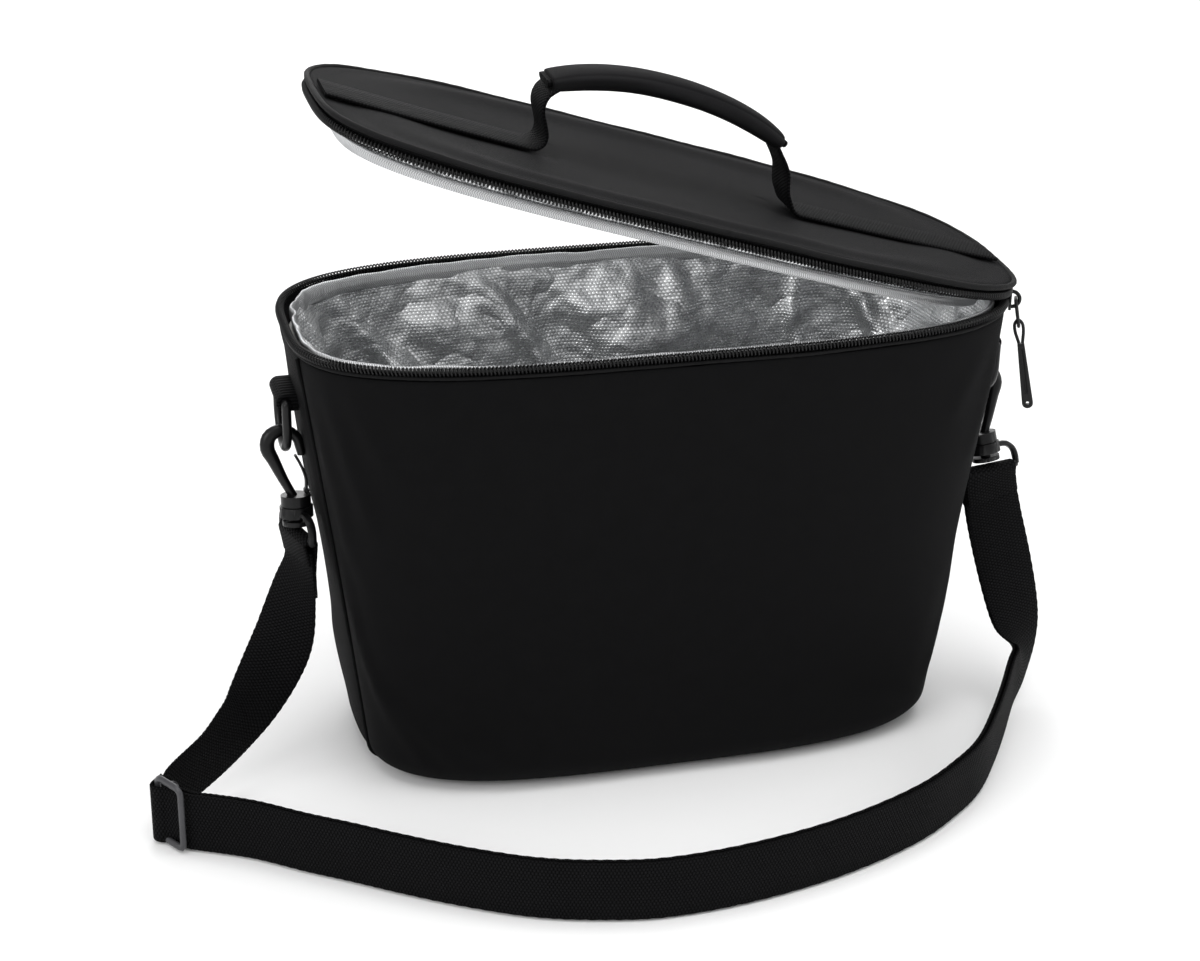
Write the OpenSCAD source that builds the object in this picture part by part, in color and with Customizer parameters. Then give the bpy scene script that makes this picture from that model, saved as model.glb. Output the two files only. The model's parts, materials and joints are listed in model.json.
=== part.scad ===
// Insulated cooler bag: tapered padded body, zipped lid hinged at one end,
// grab handle on the lid, and a shoulder strap clipped to a ring at each end.
// The origin is the centre of the base. +X is the hinged end, -Y the front.

/* [Body] */
// Half of the rim's length
rim_half_len = 175; // [165:1:185]
// Half of the rim's depth
rim_half_dep = 77; // [72:1:84]
// Half of the base's length
base_half_len = 145; // [138:1:152]
// Half of the base's depth
base_half_dep = 70; // [64:1:74]
// Height of the zip line above the floor
rim_h = 224; // [215:1:235]
// Exponent of the rounded-rectangle outline
squareness = 3.4; // [2.8:0.1:4]
// Exponent of the taper, 1 is straight
flare = 1.1; // [1:0.05:1.3]
// Radius of the turned bottom edge
base_edge_r = 12; // [10:1:16]
// Thickness of the outer fabric
fabric_t = 1.2; // [0.8:0.1:1.4]
// Distance between neighbouring layers
layer_gap = 0.3; // [0.2:0.1:0.4]
// Depth of fabric and foam together
foam_depth = 6.8; // [5:0.1:8]
// Gap between the fabric and the foam behind it
foam_gap = 0.8; // [0.5:0.1:1.2]
// Width of each end panel along Y
end_panel_w = 56; // [48:1:64]

/* [Zip] */
// Radius of one side of the zip's coil
coil_r = 1.25; // [1:0.05:1.5]
// Angle on the outline where the zip stops short of the hinge
zip_end_angle = 22; // [21:0.5:24]
// Angle on the outline of the slider
slider_angle = 17; // [16:0.5:17.5]
// Length of the moulded pull
pull_len = 34; // [24:1:36]
// Outward lean of the hanging pull
pull_lean = 11; // [0:1:15]

/* [Lid] */
// How far the lid stands open
lid_open = 17.2; // [0:0.1:60]
// Rise of the lid's middle above its edge
lid_crown = 1; // [0.5:0.5:5]
// Radius of the welt round the lid and the body
welt_r = 1.4; // [1.2:0.1:1.6]

/* [Handle] */
// Distance from the middle of the lid to the leg near the free end
free_leg_x = 67; // [62:1:70]
// Distance from the middle of the lid to the leg near the hinge
hinge_leg_x = 58; // [54:1:62]
// Half of the grip's length
grip_half_len = 58.5; // [54:0.5:60]
// Shift of the grip towards the free end
grip_shift = 9; // [4:1:12]
// Width of the handle's webbing
handle_web_w = 25; // [20:1:30]
// Height of the grip's ends above the lid
grip_end_h = 25; // [22:1:28]
// Rise of the grip's middle above its ends
grip_rise = 11; // [8:1:16]
// Half of the grip's width
grip_half_w = 12; // [11:0.5:13]
// Half of the grip's thickness
grip_half_t = 5.5; // [5:0.25:6]

/* [Strap] */
// Width of the shoulder webbing
strap_w = 30; // [30:1:30]
// Thickness of the webbing
web_t = 1.6; // [1.4:0.1:1.8]
// Height of the D-ring's bar
ring_z = 190.5; // [188:0.5:192]
// Radius of the D-ring's rod
ring_r = 2.2; // [2:0.1:2.4]
// Distance from the end panel's plane to the D-ring's bar
ring_out = 7.1; // [6.8:0.1:7.5]
// Forward lean of the left hook, pulled by the strap
left_hook_lean = 10; // [0:1:16]
// Forward lean of the right hook
right_hook_lean = 16; // [0:1:16]
// Outward lean of the right hook
right_hook_out = 9; // [7:1:11]
// Turn of the left swivel's bar
left_bar_turn = 16; // [0:1:30]
// Turn of the right swivel's bar
right_bar_turn = 78; // [60:1:80]

/* [Hidden] */

web_black = "#1b1b1c";
cloth_black = "#202022";
lid_black = "#2b2b2d";
moulded_black = "#161617";
silver = "#c9cbcd";
foam_grey = "#e6e6e4";

lining_t = 0.8;
foam_d0 = fabric_t + foam_gap;
lining_d0 = foam_depth + layer_gap;
lining_d1 = lining_d0 + lining_t;
panel_top = rim_h - 9.4;
ring_step = 6;
seam_angle = asin(pow(end_panel_w / 2 / rim_half_dep, squareness / 2));

hinge_x = rim_half_len + 3;
hinge_z = rim_h + 0.5;
lid_edge_z = rim_h + 7.5;
coil_d = 0.9;
tape_d0 = 1.5;
tape_d1 = 2.1;
welt_d = -0.3;
coil_gap = 0.1;

// ---- outline and layers of the body ----

function taper(z) = pow(max(0, z) / rim_h, flare);
function half_len(z) = base_half_len + (rim_half_len - base_half_len) * taper(z);
function half_dep(z) = base_half_dep + (rim_half_dep - base_half_dep) * taper(z);
function signed_pow(v, e) = sign(v) * pow(abs(v), e);
function outline(a, b, t) = [
    a * signed_pow(cos(t), 2 / squareness),
    b * signed_pow(sin(t), 2 / squareness)
];

// A profile row is [height, turn-in, outward part, upward part of the inward normal].
function profile(top) = concat(
    [for (p = [0 : 22.5 : 90])
        [base_edge_r * (1 - cos(p)), base_edge_r * (1 - sin(p)), sin(p), cos(p)]],
    [for (k = [0.18, 0.4, 0.6, 0.8, 0.92, 1])
        [base_edge_r + (top - base_edge_r) * k, 0, 1, 0]]
);
function wall_point(row, t, d) = let (
    z = row[0],
    inset = row[1] + d * row[2],
    p = outline(half_len(min(z, rim_h)) - inset, half_dep(min(z, rim_h)) - inset, t)
) [p[0], p[1], z + d * row[3]];
// Every layer takes its corners at the same angles, so that their facets run parallel.
function angles(t0, t1) = concat(
    [t0],
    [for (k = [floor(t0 / ring_step) + 1 : ceil(t1 / ring_step) - 1]) k * ring_step],
    [t1]
);
function full_turn() = [for (t = [0 : ring_step : 360 - ring_step]) t];
function flat_outline(z, d) =
    [for (t = full_turn()) outline(half_len(z) - d, half_dep(z) - d, t)];

// ---- solids from rings of points ----

function flatten(rows) = [for (row = rows) each row];

// Skins a list of equal rings; each ring runs counter-clockwise about the list's direction.
// The two halves of a ring are split along opposite diagonals, so that both faces of a
// twisted ribbon or a curved plate bend the same way.
function split_square(a, b, c, d, first) = first ? [[a, b, c], [a, c, d]] : [[a, b, d], [b, c, d]];
// An end is closed by strips from one half of the ring to the other.
function end_strips(n) = [for (j = [0 : n / 2 - 2]) each [[j, j + 1, n - 2 - j], [j, n - 2 - j, n - 1 - j]]];
module loft(rings, looped = false) {
    n = len(rings[0]);
    m = len(rings);
    last = looped ? m - 1 : m - 2;
    sides = [for (i = [0 : last], j = [0 : n - 1]) let (i2 = (i + 1) % m, j2 = (j + 1) % n)
        each split_square(i * n + j, i2 * n + j, i2 * n + j2, i * n + j2, j < n / 2)];
    caps = looped ? [] : concat(
        end_strips(n),
        [for (f = end_strips(n)) [for (k = [2, 1, 0]) f[k] + (m - 1) * n]]
    );
    polyhedron(points = flatten(rings), faces = concat(sides, caps), convexity = 8);
}

// A curved plate: rows of outer points and rows of inner points, as a loop of rings.
module plate(rows, ts, d0, d1, closed = false) {
    rings = [for (t = ts) concat(
        [for (row = rows) wall_point(row, t, d0)],
        [for (i = [len(rows) - 1 : -1 : 0]) wall_point(rows[i], t, d1)]
    )];
    loft([for (ring = rings) [for (i = [len(ring) - 1 : -1 : 0]) ring[i]]], closed);
}

// A round rod along a path; up fixes the section's turn.
function unit(v) = v / norm(v);
function tangent(path, i, looped) = let (
    n = len(path),
    a = looped ? (i + n - 1) % n : max(i - 1, 0),
    b = looped ? (i + 1) % n : min(i + 1, n - 1)
) unit(path[b] - path[a]);
function section(p, t, up, pts) = let (
    u = unit(cross(up, t)),
    v = cross(t, u)
) [for (q = pts) p + u * q[0] + v * q[1]];
function round_section(ru, rv, n) =
    [for (k = [0 : n - 1]) [ru * cos(360 * k / n), rv * sin(360 * k / n)]];
module rod(path, up, pts, looped = false) {
    loft([for (i = [0 : len(path) - 1])
        section(path[i], tangent(path, i, looped), up, pts)], looped);
}

function rim_path(z, d, ts) = let (zz = min(z, rim_h))
    [for (t = ts) let (p = outline(half_len(zz) - d, half_dep(zz) - d, t)) [p[0], p[1], z]];
module rim_rod(z, d, r, ts, looped) {
    rod(rim_path(z, d, ts), [0, 0, 1], round_section(r, r, 8), looped);
}
module rim_band(z0, z1, d0, d1, ts, looped = false) {
    plate([[z0, 0, 1, 0], [z1, 0, 1, 0]], ts, d0, d1, looped);
}

// Spline through hand-chosen points, for the strap, hooks and handle.
function spline_at(p0, p1, p2, p3, s) = 0.5 * (
    2 * p1 + (p2 - p0) * s
    + (2 * p0 - 5 * p1 + 4 * p2 - p3) * s * s
    + (3 * p1 - p0 - 3 * p2 + p3) * s * s * s
);
function spline(pts, steps) = let (n = len(pts)) concat(
    [for (i = [0 : n - 2], k = [0 : steps - 1])
        spline_at(pts[max(i - 1, 0)], pts[i], pts[i + 1], pts[min(i + 2, n - 1)], k / steps)],
    [pts[n - 1]]
);

// ---- body ----

front_ts = angles(180 + seam_angle + 0.15, 360 - seam_angle - 0.15);
back_ts = angles(seam_angle + 0.15, 180 - seam_angle - 0.15);
end_ts = [for (k = [-1 : 0.5 : 1]) k * (seam_angle - 0.15)];

module front_panel() {
    color(cloth_black) plate(profile(panel_top), front_ts, 0, fabric_t);
}
module back_panel() {
    color(cloth_black) plate(profile(panel_top), back_ts, 0, fabric_t);
}
module right_end_panel() {
    color(cloth_black) plate(profile(panel_top), end_ts, 0, fabric_t);
}
module left_end_panel() {
    color(cloth_black) plate(profile(panel_top), [for (t = end_ts) t + 180], 0, fabric_t);
}
module base_layer(d0, d1) {
    inset = base_edge_r + layer_gap;
    translate([0, 0, d0]) linear_extrude(d1 - d0) polygon(flat_outline(0, inset));
}
module base_panel() {
    color(cloth_black) base_layer(0, fabric_t);
}

// Folded seam allowance standing out where a side meets an end panel.
seam_welt_r = 0.9;
module seam_welts() {
    rows = [for (row = profile(panel_top - 4)) if (row[0] > base_edge_r / 2) row];
    stand = seam_welt_r + layer_gap;
    color(cloth_black)
        for (t = [seam_angle, 180 - seam_angle, 180 + seam_angle, 360 - seam_angle])
            rod([for (row = rows) wall_point(row, t, -stand)], [0, 1, 0],
                round_section(seam_welt_r, seam_welt_r, 6));
}
body_welt_z = rim_h - 7.4;
module body_piping() {
    color(web_black) rim_rod(body_welt_z, welt_d, welt_r, full_turn(), true);
}

zip_ts = angles(zip_end_angle, 360 - zip_end_angle);
module body_zip_tape() {
    color(web_black) rim_band(rim_h - 10.8, rim_h - 1.4, tape_d0, tape_d1, zip_ts);
}
module body_zip_coil() {
    color(moulded_black) rim_rod(rim_h - coil_gap, coil_d, coil_r, zip_ts, false);
}
foam_top = rim_h - 11.4;
module wall_foam() {
    color(foam_grey) plate(profile(foam_top), full_turn(), foam_d0, foam_depth, true);
}
board_t = 2;
module base_board() {
    color("#8f8f8c") base_layer(foam_d0, foam_d0 + board_t);
}
module base_foam() {
    color(foam_grey) base_layer(foam_d0 + board_t + layer_gap, foam_depth);
}
lining_top = rim_h - 4;
module wall_lining() {
    color(silver) plate(profile(lining_top), full_turn(), lining_d0, lining_d1, true);
}
module base_lining() {
    color(silver) base_layer(lining_d0, lining_d1);
}
module lining_hem() {
    color(silver) rim_band(rim_h - 11, rim_h - 3, 3.6, lining_d0 - layer_gap, full_turn(), true);
}
hinge_half_angle = 12;
module hinge_strip() {
    color(web_black)
        rim_band(rim_h - 10.8, rim_h - 0.8, 2.1, 3.1, angles(-hinge_half_angle, hinge_half_angle));
}

// ---- zip slider and pull ----

slider_p = outline(rim_half_len, rim_half_dep, -slider_angle);
slider_heading = atan2(
    signed_pow(sin(-slider_angle), 2 - 2 / squareness) / rim_half_dep,
    signed_pow(cos(slider_angle), 2 - 2 / squareness) / rim_half_len
);
slider_z = rim_h + 0.2;
bridge_x = 2.1;
bridge_r = 3.9;
bridge_rod = 0.95;
pull_rod = 0.8;
pull_ring_half_w = 2.6;
pull_ring_len = 14;
pull_pivot_x = bridge_x + 2;
module at_slider() {
    translate([slider_p[0], slider_p[1], slider_z]) rotate([0, 0, slider_heading]) children();
}
module at_pull() {
    at_slider() translate([pull_pivot_x, 0, 0]) rotate([0, -pull_lean, 0]) children();
}
module zip_slider() {
    plate_l = 9;
    front_t = 1.3;
    front_h = 8.6;
    rear_x = -3.4;
    rear_t = 1;
    color(moulded_black) at_slider() {
        translate([bridge_x - front_t, -plate_l / 2, -front_h / 2]) cube([front_t, plate_l, front_h]);
        translate([rear_x, -plate_l / 2, -2.6]) cube([rear_t, plate_l, 5]);
        translate([rear_x + rear_t / 2, -1.5, -1]) cube([bridge_x - rear_x - front_t, 3, 2]);
        translate([bridge_x, 0, 0]) rotate([90, 0, 0]) rotate([0, 0, -90])
            rotate_extrude(angle = 180, $fn = 32) translate([bridge_r, 0]) circle(bridge_rod, $fn = 16);
    }
}
// Straight-sided ring of round wire, hanging below the bridge.
module pull_ring() {
    low = -(pull_ring_len - pull_ring_half_w);
    color(moulded_black) at_pull() {
        for (s = [-1, 1])
            translate([0, s * pull_ring_half_w, low]) cylinder(r = pull_rod, h = -low, $fn = 16);
        for (s = [-1, 1])
            translate([0, s * pull_ring_half_w, 0]) sphere(pull_rod, $fn = 16);
        rotate([90, 0, 0])
            cylinder(r = pull_rod, h = 2 * pull_ring_half_w, center = true, $fn = 16);
        translate([0, 0, low]) rotate([0, 90, 0]) rotate([0, 0, -90])
            rotate_extrude(angle = 180, $fn = 32)
                translate([pull_ring_half_w, 0]) circle(pull_rod, $fn = 16);
    }
}
cord_r = 0.8;
cord_len = 11;
cord_top = pull_ring_len - 2.3;
module pull_cord() {
    path = spline([[-0.9, 0, -cord_len], [-2, 0, -5], [-1.8, 0, -1], [0, 0, 1],
        [1.8, 0, -1], [2, 0, -5], [0.9, 0, -cord_len]], 4);
    color(web_black) at_pull() translate([0, 0, -cord_top])
        rod(path, [0, 1, 0], round_section(cord_r, cord_r, 8));
}
module pull_grip() {
    top_w = 3.4;
    end_r = 2.7;
    grip_t = 3;
    hole_r = 0.9;
    color(moulded_black) at_pull() translate([0, 0, -cord_top - cord_len - layer_gap])
        rotate([90, 0, 0]) translate([0, 0, -grip_t / 2]) difference() {
            hull() {
                translate([-top_w / 2, -2]) cube([top_w, 2, grip_t]);
                translate([0, -pull_len + end_r, 0]) cylinder(r = end_r, h = grip_t, $fn = 32);
            }
            translate([0, -pull_len + end_r, -1]) cylinder(r = hole_r, h = grip_t + 2, $fn = 24);
            translate([-0.6, -pull_len + 3 * end_r, grip_t - 0.6])
                cube([1.2, pull_len - 4 * end_r, 1]);
        }
}
tab_angle = 8;
module zip_end_tab() {
    p = outline(rim_half_len + 0.8, rim_half_dep + 0.8, -tab_angle);
    color(web_black) translate([p[0], p[1], rim_h - 5]) translate([-1, -4, 0]) cube([1.2, 8, 9.4]);
}

// ---- lid, drawn closed and then turned open about the hinge ----

module opened() {
    translate([hinge_x, 0, hinge_z]) rotate([0, lid_open, 0]) translate([-hinge_x, 0, -hinge_z])
        children();
}
function lid_ring(scale, inset, z) = [for (t = full_turn())
    let (p = outline((rim_half_len - inset) * scale, (rim_half_dep - inset) * scale, t))
    [p[0], p[1], z]];
function crown(scale) = lid_crown * (1 - pow(scale, 2.5));
function lid_top_z(x) = lid_edge_z + crown(abs(x) / rim_half_len) + fabric_t;
lid_scales = [0.03, 0.3, 0.55, 0.75, 0.9, 1];
module pad(inset, z0, z1, rise0, rise1) {
    n = len(lid_scales);
    rings = concat(
        [for (s = lid_scales) lid_ring(s, inset, z0 + rise0 * (1 - pow(s, 2.5)))],
        [for (i = [n - 1 : -1 : 0]) lid_ring(lid_scales[i], inset, z1 + rise1 * (1 - pow(lid_scales[i], 2.5)))]
    );
    loft(rings);
}
module lid_top_panel() {
    color(lid_black) opened() pad(1.4, lid_edge_z, lid_edge_z + fabric_t, lid_crown, lid_crown);
}
module lid_piping() {
    color(web_black) opened() rim_rod(lid_edge_z - 0.2, welt_d, welt_r, full_turn(), true);
}
module lid_zip_tape() {
    color(web_black) opened() rim_band(rim_h + 4.2, lid_edge_z - layer_gap, tape_d0, tape_d1, zip_ts);
}
module lid_zip_coil() {
    color(moulded_black) opened()
        rim_rod(rim_h - coil_gap + 2 * coil_r + 0.25, coil_d, coil_r, zip_ts, false);
}
lid_foam_z0 = rim_h + 3;
module lid_foam() {
    color(foam_grey) opened()
        pad(4.2, lid_foam_z0, lid_edge_z - layer_gap, 0, lid_crown - 0.4);
}
lid_pad_drop = 4.5;
lid_pad_inset = 9.2;
module lid_lining() {
    color(silver) opened()
        pad(lid_pad_inset, rim_h - 0.5, lid_foam_z0 - layer_gap, 0.5 - lid_pad_drop, 0);
}
module lid_binding() {
    color(silver) opened()
        rim_band(rim_h - 1.5, lid_foam_z0 - layer_gap, lid_pad_inset - 1.4, lid_pad_inset - 0.4,
            full_turn(), true);
}

// ---- handle ----

function ribbon_section(w, t) = [
    [w / 2, -t / 4], [w / 2, t / 4], [w / 2 - t / 2, t / 2], [-w / 2 + t / 2, t / 2],
    [-w / 2, t / 4], [-w / 2, -t / 4], [-w / 2 + t / 2, -t / 2], [w / 2 - t / 2, -t / 2]
];
module anchor(side, foot) {
    reach = rim_half_len - 8 - foot + 3;
    xs = [for (k = [0 : 0.2 : 1]) foot - 3 + k * reach];
    path = [for (x = xs) [side * x, 0, lid_top_z(x) + web_t / 2 + 0.35]];
    color(web_black) opened() rod(path, [0, 0, 1], ribbon_section(handle_web_w, web_t));
}
module handle_anchor_left() { anchor(-1, free_leg_x); }
module handle_anchor_right() { anchor(1, hinge_leg_x); }

lid_mid_z = lid_top_z(free_leg_x);
leg_clear = 8.5;
grip_mid_x = (hinge_leg_x - free_leg_x) / 2 - grip_shift;
// Each leg leans from its foot to the grip's end and bows outwards on the way.
module leg(side, foot) {
    lean = grip_mid_x + side * (grip_half_len + 1.5) - foot;
    pts = [for (q = [[0, 0, leg_clear], [0.33, 3.3, 14], [0.7, 3.2, 20], [1, 0, grip_end_h]])
        [foot + q[0] * lean + side * q[1], 0, lid_mid_z + q[2]]];
    color(web_black) opened() rod(spline(pts, 4), [side, 0, 0], ribbon_section(handle_web_w, web_t));
}
module handle_leg_left() { leg(-1, -free_leg_x); }
module handle_leg_right() { leg(1, hinge_leg_x); }

function grip_path(reach) = [for (k = [-1 : 0.125 : 1]) [
    grip_mid_x + k * reach,
    0,
    lid_mid_z + grip_end_h + 3 + grip_rise * (1 - pow(abs(k), 2.2))
]];
module handle_core() {
    color(web_black) opened()
        rod(grip_path(grip_half_len - 1), [0, 0, 1], ribbon_section(14, 3.6));
}
module handle_grip() {
    path = grip_path(grip_half_len);
    n = 16;
    outer = [for (i = [0 : len(path) - 1])
        section(path[i], tangent(path, i, false), [0, 0, 1], round_section(grip_half_w, grip_half_t, n))];
    inner = [for (i = [len(path) - 1 : -1 : 0])
        section(path[i], tangent(path, i, false), [0, 0, 1], round_section(8.2, 3.2, n))];
    color(cloth_black) opened() loft(concat(outer, inner), true);
}

// ---- side rings, hooks and swivels; drawn for the right end and mirrored ----

wall_x = half_len(ring_z);
ring_x = wall_x + ring_out;
tab_r = 4.2;
tab_half_w = 12.3;
ring_half_w = 15.5;
ring_leg = 10.5;
bar_fit = 0.06;
module tab() {
    flat_x = half_len(ring_z + tab_r) + layer_gap;
    color(web_black) difference() {
        union() {
            translate([ring_x, 0, ring_z]) rotate([90, 0, 0])
                cylinder(r = tab_r, h = 2 * tab_half_w, center = true, $fn = 36);
            translate([flat_x, -tab_half_w, ring_z - tab_r]) cube([ring_x - flat_x, 2 * tab_half_w, tab_r * 2]);
        }
        translate([ring_x, 0, ring_z]) rotate([90, 0, 0])
            cylinder(r = ring_r + bar_fit, h = 3 * tab_half_w, center = true, $fn = 48);
    }
}
module d_ring() {
    color(moulded_black) translate([ring_x, 0, ring_z]) {
        rotate([90, 0, 0]) cylinder(r = ring_r, h = 2 * ring_half_w, center = true, $fn = 24);
        for (s = [-1, 1]) translate([0, s * ring_half_w, 0]) {
            sphere(ring_r, $fn = 24);
            translate([0, 0, -ring_leg]) cylinder(r = ring_r, h = ring_leg, $fn = 24);
        }
        translate([0, 0, -ring_leg]) rotate([0, 90, 0]) rotate([0, 0, -90])
            rotate_extrude(angle = 180, $fn = 40) translate([ring_half_w, 0]) circle(ring_r, $fn = 24);
    }
}

ring_low = ring_z - ring_leg - ring_half_w;
swivel_x = ring_x - 4;
swivel_z = 134;
shank_r = 2.6;
shank_fit = 0.06;
collar_r = 8;
collar_h = 5.2;
rivet_gap = 1.8;
rivet_h = 2.2;
// Hook's middle line from collar to nose:
// [outward from the swivel, above the D-ring's lowest rod, half of its width].
hook_line = [[1, -26, 2.1], [5.2, -17.5, 2.4], [9.4, -7.5, 3], [11.9, -1.6, 3.5], [10.9, 3.8, 3.5],
    [6.6, 6.7, 3.1], [2, 6.4, 2.7], [-2.2, 2.9, 2.5], [-3.6, -2.5, 2.3], [-4, -5.6, 1.9]];
module hook() {
    steps = 3;
    path = spline([for (q = hook_line) [swivel_x + q[0], 0, ring_low + q[1]]], steps);
    half_w = spline([for (q = hook_line) [q[2]]], steps);
    rivet_z = swivel_z - collar_h - rivet_gap;
    color(moulded_black) {
        loft([for (i = [0 : len(path) - 1])
            section(path[i], tangent(path, i, false), [0, 1, 0], round_section(half_w[i][0], 2.8, 12))]);
        translate([swivel_x, 0, swivel_z + 0.3]) cylinder(r = collar_r - 0.8, h = collar_h, $fn = 40);
        translate([swivel_x, 0, rivet_z - 1]) cylinder(r = shank_r, h = swivel_z + 2 - rivet_z, $fn = 24);
        translate([swivel_x, 0, rivet_z - rivet_h]) cylinder(r = collar_r - 1, h = rivet_h, $fn = 40);
    }
}
gate_x = swivel_x - 5.3;
gate_z = swivel_z + collar_h + 1.9;
gate_line = [[0, 1.2], [-0.1, 6], [1.7, 12], [4.3, 17.6]];
module gate() {
    path = spline([for (q = gate_line) [gate_x + q[0], 0, gate_z + q[1]]], 3);
    color(moulded_black) {
        rod(path, [1, 0, 0], ribbon_section(4, 1.4));
        translate([gate_x, 0, gate_z]) rotate([90, 0, 0])
            cylinder(r = 1.3, h = 4, center = true, $fn = 24);
    }
}
frame_half_w = 17;
bar_drop = 15;
bar_z = swivel_z - bar_drop;
bar_r = 2;
// Half of the frame from bar to collar, [sideways, above the swivel's joint].
frame_line = [[frame_half_w, -bar_drop], [frame_half_w, -9.5], [15.2, -5.6], [11, -3.2], [0, -2.7]];
module swivel_base(turn) {
    far_line = [for (i = [len(frame_line) - 2 : -1 : 0]) [-frame_line[i][0], frame_line[i][1]]];
    path = spline([for (q = concat(frame_line, far_line)) [0, q[0], swivel_z + q[1]]], 3);
    color(moulded_black) translate([swivel_x, 0, 0]) rotate([0, 0, -turn]) {
        difference() {
            union() {
                translate([0, 0, swivel_z - collar_h]) cylinder(r = collar_r, h = collar_h, $fn = 40);
                rod(path, [1, 0, 0], round_section(1.5, 2.2, 8));
            }
            translate([0, 0, swivel_z - 12]) cylinder(r = shank_r + shank_fit, h = 20, $fn = 24);
        }
        translate([0, 0, bar_z]) rotate([90, 0, 0])
            cylinder(r = bar_r, h = 2 * frame_half_w, center = true, $fn = 24);
    }
}
// Hangs a hook and its swivel on the D-ring's lowest rod.
module hung(forward, outward) {
    translate([ring_x, 0, ring_low]) rotate([-forward, -outward, 0]) translate([-ring_x, 0, -ring_low])
        children();
}
module left() { mirror([1, 0, 0]) children(); }
module left_hung() { left() hung(left_hook_lean, 0) children(); }
module right_hung() { hung(right_hook_lean, right_hook_out) children(); }
module left_tab() { left() tab(); }
module right_tab() { tab(); }
module left_ring() { left() d_ring(); }
module right_ring() { d_ring(); }
module left_hook() { left_hung() hook(); }
module right_hook() { right_hung() hook(); }
module left_gate() { left_hung() gate(); }
module right_gate() { right_hung() gate(); }
module left_swivel_base() { left_hung() swivel_base(left_bar_turn); }
module right_swivel_base() { right_hung() swivel_base(right_bar_turn); }

// ---- shoulder strap, on edge on the floor ----

// Each row is a point on the webbing's middle line and the heading that its face turns to.
stand_z = strap_w / 2 + 0.5;
strap_route = [
    [-173.4, -8.5, 116, 16], [-173.5, -9, 103, 20], [-177, -10, 89, 36], [-183, -14, 69, 60],
    [-191, -20, 55, 80], [-202, -28, 41, 100], [-212, -36, 33, 115], [-223, -44, 26, 130],
    [-236, -52, 20, 140], [-246, -60, 17, 165], [-249, -69, stand_z, 195],
    [-245, -78, stand_z, 212], [-238, -85, stand_z, 225], [-226, -91, stand_z, 238],
    [-210, -100, stand_z, 234], [-190, -115, stand_z, 234], [-171, -128, stand_z, 234],
    [-150, -143, stand_z, 236], [-124, -160, stand_z, 238], [-96, -175, stand_z, 243],
    [-68, -184, stand_z, 253], [-37, -189, stand_z, 262], [5, -186, stand_z, 275],
    [52, -175, stand_z, 285], [95, -157, stand_z, 295], [124, -137, stand_z, 303],
    [141, -121, stand_z, 312], [157, -99, stand_z, 325], [172, -76, stand_z + 1, 327],
    [186, -53, 18, 327], [195, -41, 22, 318], [198, -32, 31, 302],
    [196, -25, 47, 286], [190.5, -19, 72, 276], [185, -15.5, 95, 277], [180.5, -14, 116, 282]
];
glide_row = 11;
layer_step = 2.5;
function strap_point(row) = [row[0], row[1], row[2]];
function facing(row) = [cos(row[3]), sin(row[3]), 0];
function web_ring(path, faces, i) = let (
    t = tangent(path, i, false),
    w = unit(cross(faces[i], t)),
    n = cross(t, w)
) [for (q = ribbon_section(strap_w, web_t)) path[i] + w * q[0] + n * q[1]];
module webbing(rows, offset_in) {
    steps = 2;
    path = spline([for (row = rows) strap_point(row) - facing(row) * offset_in], steps);
    faces = spline([for (row = rows) facing(row)], steps);
    loft([for (i = [0 : len(path) - 1])
        let (ring = web_ring(path, faces, i)) [for (k = [len(ring) - 1 : -1 : 0]) ring[k]]]);
}
module strap_main() {
    color(web_black) webbing(strap_route, 0);
}
module strap_return() {
    rows = [for (i = [glide_row : len(strap_route) - 1]) strap_route[i]];
    color(web_black) webbing(rows, layer_step);
}

// Rectangular adjuster with a middle bar, standing on the floor round the webbing.
module tri_glide() {
    glide_l = 20;
    glide_h = 35;
    side_t = 2.6;
    bar_w = 3;
    row = strap_route[glide_row];
    color("#4b4c4e") translate([row[0], row[1], glide_h / 2 + 0.4]) rotate([0, 0, row[3]])
        translate([2.2, 0, 0]) rotate([0, 90, 0]) {
            linear_extrude(side_t, center = true) difference() {
                square([glide_h, glide_l], center = true);
                square([glide_h - 2 * side_t + 0.6, glide_l - 2 * bar_w], center = true);
            }
            translate([0, 0, -4]) linear_extrude(1.8, center = true)
                square([glide_h - 3, bar_w], center = true);
            for (s = [-1, 1]) translate([s * (glide_h / 2 - 2), 0, -2])
                cube([2, bar_w, 5.6], center = true);
        }
}

front_panel();
back_panel();
left_end_panel();
right_end_panel();
base_panel();
seam_welts();
body_piping();
body_zip_tape();
body_zip_coil();
wall_foam();
base_board();
base_foam();
wall_lining();
base_lining();
lining_hem();
hinge_strip();
zip_end_tab();
zip_slider();
pull_ring();
pull_cord();
pull_grip();
lid_top_panel();
lid_piping();
lid_zip_tape();
lid_zip_coil();
lid_foam();
lid_lining();
lid_binding();
handle_anchor_left();
handle_anchor_right();
handle_leg_left();
handle_leg_right();
handle_core();
handle_grip();
left_tab();
right_tab();
left_ring();
right_ring();
left_hook();
right_hook();
left_gate();
right_gate();
left_swivel_base();
right_swivel_base();
strap_main();
strap_return();
tri_glide();
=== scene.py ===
import json
import math
import bpy
from mathutils import Matrix, Vector, noise


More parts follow.
